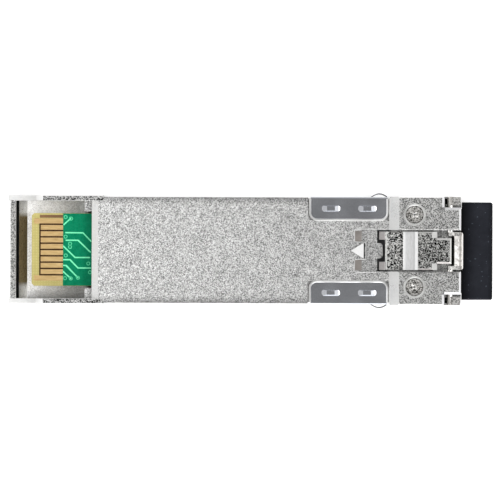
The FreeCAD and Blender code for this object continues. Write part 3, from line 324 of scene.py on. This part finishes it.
def lacquer(name, colour, deep):
    """Solder mask: glossy coloured lacquer with slight pooling."""
    roughness = 0.28
    shader = Shader(name, colour, roughness=roughness, Specular_IOR_Level=0.08)
    pool = shader.noise(1.6, detail=2.0)
    shader.colour(shader.mix(shader.ramp(pool, [(0.35, 0.0), (0.7, 1.0)]), deep, colour))
    shader.roughness(shader.ramp(shader.noise(5), [(0.3, roughness * 0.8), (0.7, roughness * 1.3)]))
    shader.bump(pool, 0.004, 0.4)
    return shader.material


def gold_plate():
    """Hard gold over nickel, with fine wiping marks along the card's insertion."""
    shader = Shader("gold_plate", (0.86, 0.6, 0.3), metallic=1.0, roughness=0.32)
    wipe = shader.noise(7, detail=3.0, stretch=(0.12, 1, 1))
    shader.colour(shader.mix(shader.ramp(wipe, [(0.3, 0.0), (0.7, 1.0)]),
                             (0.76, 0.51, 0.215), (0.9, 0.645, 0.315)))
    shader.roughness(shader.ramp(wipe, [(0.3, 0.34), (0.7, 0.44)]))
    shader.bump(wipe, 0.001, 0.3)
    return shader.material


# The tone ramps give the housing zinc painted shade toward the nose and along its long edges.
zinc = blasted_metal("blasted_zinc", (0.23, 0.23, 0.227), (0.93, 0.93, 0.92), 9.5, 0.03,
                     tone=True)
# Darker copy of the housing zinc for the nose: painted shade of the light's falloff.
zinc_nose_painted_shade = blasted_metal("blasted_zinc_nose_painted_shade", (0.1, 0.1, 0.098), (0.55, 0.55, 0.54), 8.5, 0.03)
zinc_smooth = smooth_metal("machined_zinc", (0.56, 0.56, 0.555), 0.3)
zinc_pale = smooth_metal("polished_zinc", (0.85, 0.85, 0.84), 0.35)
zinc_window = smooth_metal("recess_window", (0.42, 0.385, 0.36), 0.4)
# Near black: the real lid seams, and painted shadow in the trench, slits, shoulder relief and rear
# groove.
seam_and_shadow_black = moulded("seam_and_shadow_black", (0.012, 0.012, 0.012), 0.7, Specular_IOR_Level=0.1)
# Pale non-metal copy of the zinc for the ledge as painted light; its across stops paint the skirt's
# shadow on the -Y side.
zinc_plateau = blasted_metal("blasted_zinc_ledge", (0.72, 0.71, 0.7), (1.0, 1.0, 0.99), 8.0,
                             0.045, (0.3, 0.5), metallic=0.0,
                             across=[(0.03, 0.35), (0.13, 0.9), (0.2, 1.0)])
# Pale, nearly non-metal copy of the zinc for the boss: painted highlight.
boss_white = smooth_metal("boss_white", (0.64, 0.64, 0.635), 0.5, streaks=0.04, metallic=0.1)
zinc_rim = blasted_metal("blasted_zinc_rim", (0.13, 0.13, 0.128), (0.72, 0.72, 0.71), 9.0, 0.03)
# Darker copy of the zinc for the skirts' top edges: painted shade.
zinc_skirt_painted_shade = blasted_metal("blasted_zinc_skirt_shade", (0.0, 0.0, 0.0), (0.62, 0.62, 0.61), 7.0, 0.04,
                           spread=(0.4, 0.6))
nose_edge = smooth_metal("nose_edge", (0.5, 0.5, 0.505), 0.4)
# Paler copy of nose_edge, put on chamfers facing +X as a painted highlight.
nose_edge_highlight = smooth_metal("nose_edge_highlight", (0.7, 0.7, 0.71), 0.4)
# Paler, less metallic copy of the zinc for the skirt ends and bevels: painted highlight.
skirt_painted_highlight = smooth_metal("skirt_painted_highlight", (0.72, 0.72, 0.715), 0.5, metallic=0.3)
lever_edge = smooth_metal("lever_edge", (0.6, 0.6, 0.585), 0.35)
# Goes black past the hub's end as painted shadow.
hub_floor_with_shadow = blasted_metal("hub_floor_with_shadow", (0.3, 0.3, 0.3), (1.0, 1.0, 0.98), 7.0, 0.03, end=HUB_END)
bail_pale = blasted_metal("bail_pale", (0.55, 0.53, 0.51), (1.0, 0.98, 0.95), 1.8, 0.02,
                          (0.45, 0.6), metallic=0.8)
screw_bright = blasted_metal("screw_bright", (0.3, 0.295, 0.28), (0.95, 0.93, 0.9), 5.0, 0.03,
                             metallic=0.7)
screw_grain = blasted_metal("screw_grain", (0.05, 0.048, 0.043), (0.5, 0.49, 0.47), 6.5, 0.04)
# Darker copy of the housing zinc for channels and recesses: painted shade.
zinc_recess_shade = blasted_metal("blasted_zinc_recess_shade", (0.2, 0.2, 0.2), (0.5, 0.5, 0.49), 6.0, 0.03)
lever_grain = blasted_metal("lever_blasted", (0.0, 0.0, 0.0), (0.7, 0.7, 0.68), 6.6, 0.045,
                            spread=(0.4, 0.68))
lever_dark = blasted_metal("lever_blasted_high", (0.0, 0.0, 0.0), (0.52, 0.52, 0.505), 7.4, 0.045,
                           spread=(0.41, 0.68))
lever_smooth = slope_metal()
lever_step = smooth_metal("lever_step", (0.43, 0.43, 0.42), 0.35)
groove_slope = groove_metal()
lever_tip = smooth_metal("lever_tip", (0.24, 0.228, 0.224), 0.3)
bail_bright = smooth_metal("bail_bright", (0.82, 0.8, 0.77), 0.24)
bail_cast = blasted_metal("bail_cast", (0.22, 0.215, 0.21), (0.6, 0.59, 0.57), 6.5, 0.03)
collar_metal = smooth_metal("collar_rolled", (0.43, 0.44, 0.465), 0.2, streaks=0.03)
collar_shade = smooth_metal("collar_shade", (0.24, 0.245, 0.26), 0.3, streaks=0.03)
screw_metal = smooth_metal("screw_plated", (0.68, 0.66, 0.63), 0.3)
can_metal = smooth_metal("can_turned", (0.66, 0.63, 0.56), 0.28, along=(1, 0.3, 0.3))
spring_metal = smooth_metal("spring_wire", (0.66, 0.66, 0.66), 0.25)
# The ends stops paint shade next to the nose and at the plug's front.
rubber = moulded("plug_rubber", (0.0115, 0.0125, 0.0165), 0.62, speck=0.12, depth=0.012,
                 ends=[(0.0, 0.1), (0.12, 0.35), (0.3, 0.8), (0.5, 1.0), (0.85, 1.0), (0.97, 0.5)],
                 Specular_IOR_Level=0.05)
port_plastic = moulded("port_plastic", (0.022, 0.022, 0.024), 0.42)
retainer_plastic = moulded("retainer_plastic", (0.05, 0.05, 0.055), 0.5)
chip_epoxy = moulded("chip_epoxy", (0.018, 0.018, 0.019), 0.45, grain=14)
gap_filler = moulded("gap_filler", (0.16, 0.2, 0.32), 0.7)
capacitor_body = moulded("capacitor_body", (0.3, 0.2, 0.12), 0.35, grain=10)
ceramic = moulded("ceramic", (0.85, 0.84, 0.8), 0.18, depth=0.001)
film = moulded("polyimide", (0.42, 0.2, 0.03), 0.3, depth=0.002)
label_film = moulded("label_film", (0.62, 0.62, 0.6), 0.4, grain=5, depth=0.002)
board_bare = laminate()
mask_green = lacquer("solder_mask", (0.003, 0.203, 0.096), (0.001, 0.163, 0.075))
trace_green = lacquer("masked_trace", (0.2, 0.82, 0.46), (0.14, 0.7, 0.38))
via_green = lacquer("masked_via", (0.1, 0.6, 0.32), (0.06, 0.5, 0.25))
pad_side_brown = moulded("pad_side_brown", (0.13, 0.063, 0.022), 0.5, depth=0.003)
pad_edge = moulded("pad_edge", (0.03, 0.013, 0.004), 0.6, depth=0.003,
                   Specular_IOR_Level=0.1)
gold = gold_plate()


def finish_node(name, *materials):
    """Give a CAD node its material slots."""
    mesh = nodes[name].data
    mesh.materials.clear()
    for material in materials:
        mesh.materials.append(material)
    for face in mesh.polygons:
        face.material_index = 0
    return mesh


def finish_faces(name, materials, choose):
    """Give each face of a CAD node the material that choose(centre, normal) returns."""
    mesh = finish_node(name, *materials)
    for face in mesh.polygons:
        centre = face.center
        centre_mm = Vector((station_of(centre.x), centre.y / MM, centre.z / MM))
        face.material_index = materials.index(choose(centre_mm, face.normal))


# Least part of a normal along an axis for its face to count as facing that way.
FACING = 0.3
LEVER_HIGH_START = 51.4
CROSSBAR_VALLEY = 57.13


def sloped(normal):
    """True for faces that are neither level nor upright."""
    return 0.15 < abs(normal.z) < 0.97


def housing_face(centre, normal):
    """Blasted flats, machined slopes, and hollows painted dark as shade."""
    station, across, height = centre
    off_middle = abs(across)
    trench = 46.69 < station < 48.41 and off_middle < 2.63 and height < 7.89
    arm_notch = 55.2 < station < 55.6 and 5.85 < off_middle < 6.65 and height < 7.6
    shoulder_relief = 44.98 < station < 45.17 and off_middle < 1.01 and 8.2 < height < 8.49
    window = 43.8 < station < 44.8 and 7.8 < height < 7.88
    boss = 43.3 < station < 45.02 and off_middle < 1.02 and height > 8.6 and normal.z > FACING
    front = station > 54.8
    raised = height > 9.5
    # Trench, arm notch and shoulder relief are painted black as shadow.
    if trench or arm_notch or shoulder_relief:
        return seam_and_shadow_black
    if window:
        return zinc_window
    # The boss faces take the pale copy as a painted highlight.
    if boss:
        return boss_white
    if sloped(normal):
        # Channel walls, the inside of the shell and the channel floor take the darker recess zinc
        # as painted shade.
        channel_wall = raised and off_middle < 2.9 and abs(normal.y) > FACING
        if channel_wall:
            return zinc_recess_shade
        # Front chamfers facing +X take the paler copy as a painted highlight.
        if front and off_middle > 2.9:
            return nose_edge_highlight if normal.x > FACING else nose_edge
        return zinc_pale if raised and station > 49.45 else zinc_smooth
    inside_shell = off_middle < 5.9 and height < 7.35
    hub_pocket = front and off_middle < 2.7 and height < 7.8
    channel = station > 48.4 and off_middle < 2.7 and height < 9.5
    if inside_shell:
        return zinc_recess_shade
    if hub_pocket:
        return hub_floor_with_shadow
    if channel:
        return zinc_recess_shade
    # The nose takes the darker zinc copy as painted shade.
    return zinc_nose_painted_shade if station > 48.3 and height > 7 else zinc


def cover_face(centre, normal):
    """Skirt ends and bevels in a painted highlight, groove floor black as painted shadow, machined
    slope and grainy ledge; the rest is blasted.
    """
    station, across, height = centre
    off_middle = abs(across)
    on_skirt = off_middle > 6.15
    outer_face = normal.z < -0.5
    low_skirt = station < 4.45 and on_skirt and height > 3.0
    rear_end = station < 0.26
    skirt_bevel = off_middle > 6.79 and normal.z > FACING
    rim_top = station < 1.0 and normal.z > 0.9 and off_middle < SKIRT_INNER
    groove_floor = 0.94 < station < GROOVE_FOOT and height < 1.25
    ledge_end = 9.6 < station < 10.5 and height > 3.2
    ledge = 2.3 < station < 10.5 and off_middle < 6.25
    if outer_face:
        return zinc
    # Skirt ends, the rear end and upward bevels: painted highlight.
    if low_skirt or rear_end or skirt_bevel:
        return skirt_painted_highlight
    if rim_top:
        return zinc_rim
    # The rear groove's floor is painted black as shadow.
    if groove_floor:
        return seam_and_shadow_black
    if sloped(normal):
        return groove_slope
    if ledge_end:
        return zinc
    if ledge:
        return zinc_plateau
    # Skirt tops above the belly level take the darker copy as painted shade.
    return zinc_skirt_painted_shade if on_skirt and height > 8.3 else zinc


def lever_face(centre, normal):
    """Coarse blasted top, machined slopes and edges."""
    station = centre.x
    if not sloped(normal):
        return lever_grain if station < LEVER_HIGH_START else lever_dark
    # Slopes facing -Y take the dark tip finish as painted shade.
    if station < 48 or normal.y < -FACING:
        return lever_tip
    if station > LEVER_HIGH_START:
        return lever_step if normal.x > FACING and station < 55 else lever_edge
    return lever_smooth


def collar_face(centre, normal):
    """Shaded flanks on the far sides of the bumps."""
    far_flank = 0.2 < normal.x < 0.6 and normal.z > 0.9 and centre.z > 8.37
    return collar_shade if far_flank else collar_metal


def crank_face(centre, normal):
    """Satin inner bar of the crossbar, cast ends beside it and bright metal elsewhere."""
    if normal.z < 0.5 or centre.x > CROSSBAR_VALLEY or centre.z < 9:
        return bail_bright
    return bail_pale if abs(centre.y) < 1.9 else bail_cast


finish_faces("base_housing", (zinc, zinc_smooth, zinc_recess_shade, zinc_nose_painted_shade, zinc_pale, zinc_window,
                              seam_and_shadow_black, hub_floor_with_shadow, boss_white, nose_edge, nose_edge_highlight), housing_face)
finish_faces("top_cover", (zinc, groove_slope, skirt_painted_highlight, zinc_plateau, zinc_skirt_painted_shade, seam_and_shadow_black,
                           zinc_rim), cover_face)
finish_faces("release_lever", (lever_grain, lever_smooth, lever_tip, lever_edge, lever_dark,
                               lever_step), lever_face)
finish_faces("bail_crank", (bail_bright, bail_pale, bail_cast), crank_face)
finish_faces("emi_collar", (collar_metal, collar_shade), collar_face)

PLAIN_FINISHES = [
    (bail_bright, ["bail_shafts"]),
    (bail_cast, ["bail_handle"]),
    (screw_metal, ["housing_screws"]),
    (rubber, ["dust_plug"]),
    (port_plastic, ["lc_receptacle"]),
    (retainer_plastic, ["osa_retainer"]),
    (label_film, ["rating_label"]),
    (board_bare, ["circuit_board"]),
    (gold, ["contacts_latch_side", "contacts_lid_side"]),
    (gap_filler, ["thermal_pad"]),
    (capacitor_body, ["capacitors"]),
    (can_metal, ["tosa_can", "rosa_can", "tosa_barrel", "rosa_barrel"]),
    (ceramic, ["alignment_sleeves", "ferrule_stubs"]),
    (film, ["tosa_flex", "rosa_flex"]),
    (chip_epoxy, ["laser_driver_chip", "microcontroller_chip", "limiting_amplifier_chip",
                  "memory_chip"]),
]
for plain_material, node_names in PLAIN_FINISHES:
    for node_name in node_names:
        finish_node(node_name, plain_material)

WELD_GAP = 0.0005
SHARP_ANGLE = 28


def soften(name, width_mm, finish):
    """Round the sharp edges of a CAD node a little, in one of its finishes."""
    piece = nodes[name]
    weld = piece.modifiers.new("weld", "WELD")
    weld.merge_threshold = WELD_GAP * MM
    bevel = piece.modifiers.new("edges", "BEVEL")
    bevel.width = width_mm * MM
    bevel.segments = 2
    bevel.limit_method = "ANGLE"
    bevel.angle_limit = math.radians(SHARP_ANGLE)
    bevel.harden_normals = False
    bevel.use_clamp_overlap = True
    bevel.material = list(piece.data.materials).index(finish)


# The lid's bevelled edges take the painted highlight finish.
soften("top_cover", 0.1, skirt_painted_highlight)
soften("release_lever", 0.05, lever_edge)


# ------------------------------------------------------------------------------- pieces
def piece_from(name, builder, material, body="housing"):
    """Turn a bmesh builder into a named piece that rides on a body."""
    mesh = bpy.data.meshes.new(name)
    form = bmesh.new()
    builder(form)
    bmesh.ops.recalc_face_normals(form, faces=form.faces)
    form.to_mesh(mesh)
    form.free()
    mesh.materials.append(material)
    piece = bpy.data.objects.new(name, mesh)
    bpy.context.scene.collection.objects.link(piece)
    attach(piece, body)
    return piece


def join(form, row, following):
    """Faces between two closed rows with as many vertices."""
    count = len(row)
    for index in range(count):
        after = (index + 1) % count
        form.faces.new((row[index], row[after], following[after], following[index]))


def slab(form, outline, bottom, top):
    """Prism over an outline of (station, y) pairs."""
    lower = [form.verts.new(point(x, y, bottom)) for x, y in outline]
    upper = [form.verts.new(point(x, y, top)) for x, y in outline]
    form.faces.new(lower[::-1])
    form.faces.new(upper)
    join(form, lower, upper)


def block(form, stations, sides, bottom, top):
    """Box between two stations and two places across."""
    (start, end), (right, left) = stations, sides
    slab(form, [(start, right), (end, right), (end, left), (start, left)], bottom, top)


def turned(form, x, y, profile, count, closed):
    """Surface turned about an upright axis, from (radius, height) pairs.

    A closed profile makes a ring; an open one is capped at both ends.
    """
    rows = [[form.verts.new(point(x + radius * math.cos(2 * math.pi * i / count),
                                  y + radius * math.sin(2 * math.pi * i / count), height))
             for i in range(count)] for radius, height in profile]
    for row, following in zip(rows, rows[1:] + rows[:1] if closed else rows[1:]):
        join(form, row, following)
    if not closed:
        form.faces.new(rows[0][::-1])
        form.faces.new(rows[-1])


def arc(x, y, radius, start, end):
    """Points round part of a circle, between two angles in degrees."""
    steps = 7
    angles = [math.radians(start + (end - start) * i / steps) for i in range(steps + 1)]
    return [(x + radius * math.cos(angle), y + radius * math.sin(angle)) for angle in angles]


def way_at(path, index):
    """Direction of a path at one of its points."""
    before = Vector(path[max(index - 1, 0)])
    after = Vector(path[min(index + 1, len(path) - 1)])
    return (after - before).normalized()


def ribbon(form, path, width, bottom, top):
    """Raised track of constant width along a path of (station, y) pairs, with round ends."""
    half = width / 2
    cap_steps = 6
    sharpest = 0.5
    left, right = [], []
    for index, (x, y) in enumerate(path):
        way = way_at(path, index)
        if 0 < index < len(path) - 1:
            into = (Vector(path[index]) - Vector(path[index - 1])).normalized()
            stretch = half / max(sharpest, abs(way.dot(into)))
        else:
            stretch = half
        across = Vector((-way.y, way.x)) * stretch
        left.append((x + across.x, y + across.y))
        right.append((x - across.x, y - across.y))

    def cap(end, way):
        """Half circle round an end, from one side to the other."""
        start = math.atan2(way.y, way.x) + math.pi / 2
        turns = [start - turn * math.pi / cap_steps for turn in range(1, cap_steps)]
        return [(end[0] + half * math.cos(turn), end[1] + half * math.sin(turn))
                for turn in turns]

    ahead = (Vector(path[-1]) - Vector(path[-2])).normalized()
    behind = (Vector(path[0]) - Vector(path[1])).normalized()
    slab(form, left + cap(path[-1], ahead) + right[::-1] + cap(path[0], behind), bottom, top)


# Where a bevelled crown begins, as a share of the way up or out, and half of its flat top.
BROW = 0.6
CROWN_HALF = 0.22


def bevelled_ribbon(form, path, width, bottom, top):
    """Track with a flat crown and two sloping flanks, along a path of (station, y) pairs."""
    brow = bottom + BROW * (top - bottom)
    profile = [(-0.5, bottom), (-0.5, brow), (-CROWN_HALF, top), (CROWN_HALF, top), (0.5, brow),
               (0.5, bottom)]
    rows = []
    for index, (x, y) in enumerate(path):
        way = way_at(path, index)
        rows.append([form.verts.new(point(x - way.y * width * share, y + way.x * width * share,
                                          height)) for share, height in profile])
    for row, following in zip(rows, rows[1:]):
        join(form, row, following)
    form.faces.new(rows[0])
    form.faces.new(rows[-1][::-1])


MASK_START, MASK_END = 6.95, 10.85
MASK_HALF = 4.57
MASK_THICK = 0.02
TRACK_WIDTH = 0.17
TRACK_THICK = 0.02
VIA_RADIUS = 0.25
VIA_THICK = 0.025
VIA_SIDES = 24
HOLE_RADIUS = 0.14
HOLE_THICK = 0.006
HOLE_SIDES = 16
PAD_PITCH = 0.8
PAD_REAR = 4.13
GAP_REAR = 3.95
GAP_COUNT = 9
GAP_HALF = 0.1
GAP_SPAN = 3.3
GAP_THICK = 0.044
# Dark brown strip along the outer side of the top pad.
STRIP_REAR = 4.0
STRIP_SIDES = (4.02, 4.38)
STRIP_THICK = 0.012
TRACE_PATHS = [
    [(7.3, 2.14), (9.48, 2.12), (10.5, 1.06)],
    [(7.34, 1.18), (8.86, 1.18), (10.4, -0.3)],
    [(6.99, 0.44), (8.48, -1.0), (10.3, -1.0)],
    [(6.97, -1.28), (7.84, -1.28), (8.86, -2.33), (10.45, -2.33)],
    [(6.99, -2.01), (7.34, -2.01), (8.86, -3.57)],
    [(6.99, -2.78), (7.96, -3.68)],
    [(7.04, 3.15), (7.9, 3.92)],
]
VIAS = [(7.27, 4.11), (7.96, 3.92), (7.27, 1.63), (7.84, 0.75), (7.84, 0.33), (7.31, -0.75),
        (10.16, -1.76), (10.38, -2.87), (7.22, -3.63), (7.96, -3.66), (8.86, -3.57)]


def board_details():
    """Solder mask, tracks, plated holes and the gaps between pads on the card edge."""
    mask_top = BOARD_TOP + MASK_THICK

    def mask(bottom, top):
        return lambda form: block(form, (MASK_START, MASK_END), (-MASK_HALF, MASK_HALF),
                                  bottom, top)

    def tracks(form):
        for path in TRACE_PATHS:
            ribbon(form, path, TRACK_WIDTH, mask_top, mask_top + TRACK_THICK)

    def via_rings(form):
        top = mask_top + VIA_THICK
        profile = [(HOLE_RADIUS, mask_top), (VIA_RADIUS, mask_top), (VIA_RADIUS, top),
                   (HOLE_RADIUS, top)]
        for x, y in VIAS:
            turned(form, x, y, profile, VIA_SIDES, closed=True)

    def via_holes(form):
        angles = [2 * math.pi * i / HOLE_SIDES for i in range(HOLE_SIDES)]
        for x, y in VIAS:
            outline = [(x + HOLE_RADIUS * math.cos(angle), y + HOLE_RADIUS * math.sin(angle))
                       for angle in angles]
            slab(form, outline, mask_top, mask_top + HOLE_THICK)

    def brown_strip(form):
        block(form, (STRIP_REAR, MASK_START), STRIP_SIDES, BOARD_TOP, BOARD_TOP + STRIP_THICK)

    def pad_gaps(form):
        top = BOARD_TOP + GAP_THICK
        block(form, (GAP_REAR, PAD_REAR), (-GAP_SPAN, GAP_SPAN), BOARD_TOP, top)
        for index in range(GAP_COUNT):
            y = PAD_PITCH * (index - GAP_COUNT // 2)
            block(form, (PAD_REAR, MASK_START), (y - GAP_HALF, y + GAP_HALF), BOARD_TOP, top)

    for name, build, material in (
            ("board_mask", mask(BOARD_TOP, mask_top), mask_green),
            ("board_mask_lid_side", mask(BOARD_BOTTOM - MASK_THICK, BOARD_BOTTOM), mask_green),
            ("board_tracks", tracks, trace_green),
            ("board_vias", via_rings, via_green),
            ("board_via_holes", via_holes, mask_green),
            ("contact_gaps", pad_gaps, pad_edge),
            ("pad_side_strip", brown_strip, pad_side_brown)):
        piece_from(name, build, material)


LIP_PATH = ([(38.2, 6.55), (38.2, 4.8)] + arc(39.1, 4.8, 0.92, 180, 270)
            + arc(47.1, 4.8, 0.92, 270, 360) + [(48.02, 4.8), (48.02, 6.55)])
LIP_WIDTH = 0.3
LIP_BOTTOM = 8.3
LIP_RISE = 0.07
RECESS_HALF_PATH = ([(46.62, 2.73), (44.1, 2.72)] + arc(44.14, 2.42, 0.3, 90, 180)
                    + arc(44.04, 1.3, 0.2, 180, 270) + arc(45.13, 0.92, 0.16, 90, 0))
RECESS_RIM_WIDTH = 0.11
RECESS_RIM_SINK, RECESS_RIM_RISE = 0.06, 0.02


def collar_lips():
    """Bright pressed lips of the housing, round the latch recess and each tab of the collar."""
    def lip(sign):
        return lambda form: bevelled_ribbon(form, [(x, sign * y) for x, y in LIP_PATH],
                                            LIP_WIDTH, LIP_BOTTOM, BELLY_TOP + LIP_RISE)

    def recess_rim(form):
        path = RECESS_HALF_PATH + [(x, -y) for x, y in RECESS_HALF_PATH[::-1]]
        bevelled_ribbon(form, path, RECESS_RIM_WIDTH, BELLY_TOP - RECESS_RIM_SINK,
                        BELLY_TOP + RECESS_RIM_RISE)

    piece_from("recess_rim", recess_rim, zinc_pale)
    piece_from("collar_lip_left", lip(1), zinc_pale)
    piece_from("collar_lip_right", lip(-1), zinc_pale)


SCREW_STATION = 51.43
SCREW_YS = (4.58, -4.58)
SCREW_SIDES = 40
SCREW_PROFILE = [(1.16, 9.0), (1.16, 9.34), (1.08, 9.42), (0.98, 9.42), (0.8, 9.36), (0.55, 9.33),
                 (0.4, 9.38), (0.2, 9.42)]
CROSS_HALF_WIDTH = 0.12
CROSS_HALF_LENGTH = 0.5
CROSS_BOTTOM, CROSS_TOP = 9.21, 9.425
RIM_OUTER, RIM_INNER = 1.3, 1.14
RIM_DEPTH = 0.12
RIM_LIP = 0.02


def screw_heads():
    """Dished heads with a cross recess, and the bright rims of their counterbores."""
    def heads(form):
        for y in SCREW_YS:
            turned(form, SCREW_STATION, y, SCREW_PROFILE, SCREW_SIDES, closed=False)

    def crosses(form):
        for y in SCREW_YS:
            middle = Vector((SCREW_STATION, y))
            for angle in (math.radians(45), math.radians(135)):
                way = Vector((math.cos(angle), math.sin(angle)))
                side = Vector((-way.y, way.x)) * CROSS_HALF_WIDTH
                tip = way * CROSS_HALF_LENGTH
                slab(form, [tuple(middle + tip * a + side * b)
                            for a, b in ((-1, -1), (1, -1), (1, 1), (-1, 1))],
                     CROSS_BOTTOM, CROSS_TOP)

    def rims(form):
        bottom = NOSE_TOP - RIM_DEPTH
        brow = RIM_INNER + BROW * (RIM_OUTER - RIM_INNER)
        profile = [(RIM_INNER, bottom), (RIM_OUTER, bottom), (RIM_OUTER, NOSE_TOP),
                   (brow, NOSE_TOP), (RIM_INNER, bottom + RIM_LIP)]
        for y in SCREW_YS:
            turned(form, SCREW_STATION, y, profile, SCREW_SIDES, closed=True)

    piece_from("screw_crowns", heads, screw_grain)
    piece_from("screw_crosses", crosses, screw_bright)
    piece_from("counterbore_rims", rims, zinc_pale)


def lever_line():
    """Bright pressed line across the lever, where its low top meets the fork's slope."""
    station, half_length, width = 47.87, 2.38, 0.2
    bottom, top = 8.5, 8.565
    path = [(station, -half_length), (station, half_length)]
    piece_from("lever_line", lambda form: bevelled_ribbon(form, path, width, bottom, top),
               lever_edge, body="lever")


def lid_seams():
    """Dark joints between the lid and the belly along both sides."""
    stations = (12.1, 37.95)
    inner, outer = 6.7, 6.71
    bottom, top = 2.57, 2.63

    def build(form):
        for sign in (-1, 1):
            block(form, stations, (sign * inner, sign * outer), bottom, top)

    piece_from("lid_seams", build, seam_and_shadow_black)


def coil(form, start, length, radius, wire, turns, height):
    """Coil spring along X, swept by hand round its helix."""
    steps, sides = 28, 8
    loops = []
    for step in range(turns * steps + 1):
        turn = 2 * math.pi * step / steps
        along = start + length * step / (turns * steps)
        outward = Vector((0, math.cos(turn), math.sin(turn)))
        loop = []
        for side in range(sides):
            angle = 2 * math.pi * side / sides
            place = point(along + wire * math.sin(angle), 0, height)
            place += outward * (radius + wire * math.cos(angle)) * MM
            loop.append(form.verts.new(place))
        loops.append(loop)
    for loop, following in zip(loops, loops[1:]):
        join(form, loop, following)
    form.faces.new(loops[0])
    form.faces.new(loops[-1][::-1])


def spring():
    """Return spring under the lever."""
    low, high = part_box("lever_spring")
    wire = 0.07
    turns = 6
    start = station_of(low.x) + wire
    length = station_of(high.x) - wire - start
    height = (low.z + high.z) / 2 / MM
    radius = (high.z - low.z) / 2 / MM - wire
    piece = piece_from("lever_coil",
                       lambda form: coil(form, start, length, radius, wire, turns, height),
                       spring_metal)
    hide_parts("lever_spring")
    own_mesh(piece)


board_details()
collar_lips()
screw_heads()
lever_line()
lid_seams()
spring()


# -------------------------------------------------------------------------------- stage
# Grey of the light tent from straight below to straight above.
TENT = [(0.0, 0.85), (0.12, 0.85), (0.28, 0.65), (0.42, 0.78), (0.6, 1.0), (0.8, 0.75),
        (0.93, 0.4), (1.0, 0.25)]
TENT_STRENGTH = 1.5
FLOOR_REACH = 3.0
FLOOR_GAP = 0.0002
FLOOR_GLOW = 0.25
FOCAL_LENGTH = 1400.0
SENSOR_WIDTH = 36.0
VIEW_WIDTH = 63.24
VIEW_SHIFT = (-0.025, 0.03)
VIEW_TURN = 0.22


def soft_box(name, place, power, size):
    """Soft box that points at the middle of the module."""
    lamp = bpy.data.lights.new(name, "AREA")
    lamp.energy = power
    lamp.shape = "RECTANGLE"
    lamp.size, lamp.size_y = size
    holder = bpy.data.objects.new(name, lamp)
    holder.location = place
    holder.rotation_mode = "QUATERNION"
    holder.rotation_quaternion = (-Vector(place)).to_track_quat("-Z", "Y")
    holder.visible_camera = False
    bpy.context.scene.collection.objects.link(holder)


def tent():
    """Light tent: bright walls all round and a dimmer ceiling."""
    world = bpy.data.worlds.new("tent")
    world.use_nodes = True
    tree = world.node_tree
    place = tree.nodes.new("ShaderNodeTexCoord")
    split = tree.nodes.new("ShaderNodeSeparateXYZ")
    ramp = tree.nodes.new("ShaderNodeValToRGB")
    tree.links.new(place.outputs["Generated"], split.inputs[0])
    tree.links.new(split.outputs["Z"], ramp.inputs["Fac"])
    set_stops(ramp, TENT)
    background = tree.nodes["Background"]
    tree.links.new(ramp.outputs["Color"], background.inputs["Color"])
    background.inputs["Strength"].default_value = TENT_STRENGTH
    return world


def studio():
    """Pale floor, three soft boxes and a light tent, as for a product on white."""
    floor_mesh = bpy.data.meshes.new("floor")
    corners = [(x * FLOOR_REACH, y * FLOOR_REACH, 0)
               for x, y in ((-1, -1), (1, -1), (1, 1), (-1, 1))]
    floor_mesh.from_pydata(corners, [], [(0, 1, 2, 3)])
    floor = bpy.data.objects.new("floor", floor_mesh)
    floor.location.z = cad_bounds[0].z - FLOOR_GAP
    paper = Shader("floor_paper", (0.93, 0.93, 0.93), roughness=0.9)
    paper.set(paper.surface, "Emission Color", (1, 1, 1, 1))
    paper.set(paper.surface, "Emission Strength", FLOOR_GLOW)
    floor_mesh.materials.append(paper.material)
    bpy.context.scene.collection.objects.link(floor)
    bpy.context.scene.world = tent()
    soft_box("box_left", (-0.45, 0.1, 0.3), 0.8, (0.4, 0.3))
    soft_box("box_right", (0.39, -0.03, 0.58), 1.0, (0.25, 0.25))
    soft_box("box_front", (0.1, -0.5, 0.2), 1.8, (0.5, 0.3))


def camera():
    """Straight down on the latch side, from far enough to look almost without perspective."""
    lens = bpy.data.cameras.new("camera")
    lens.lens = FOCAL_LENGTH
    lens.sensor_width = SENSOR_WIDTH
    distance = VIEW_WIDTH * MM * lens.lens / lens.sensor_width
    holder = bpy.data.objects.new("camera", lens)
    middle = (cad_bounds[0] + cad_bounds[1]) / 2
    holder.location = (middle.x + VIEW_SHIFT[0] * MM, middle.y + VIEW_SHIFT[1] * MM,
                       BELLY_TOP * MM + distance)
    holder.rotation_euler.z = math.radians(VIEW_TURN)
    lens.clip_start, lens.clip_end = 0.01, 20.0
    bpy.context.scene.collection.objects.link(holder)
    bpy.context.scene.camera = holder


studio()
camera()
bpy.context.scene.view_settings.view_transform = "Standard"
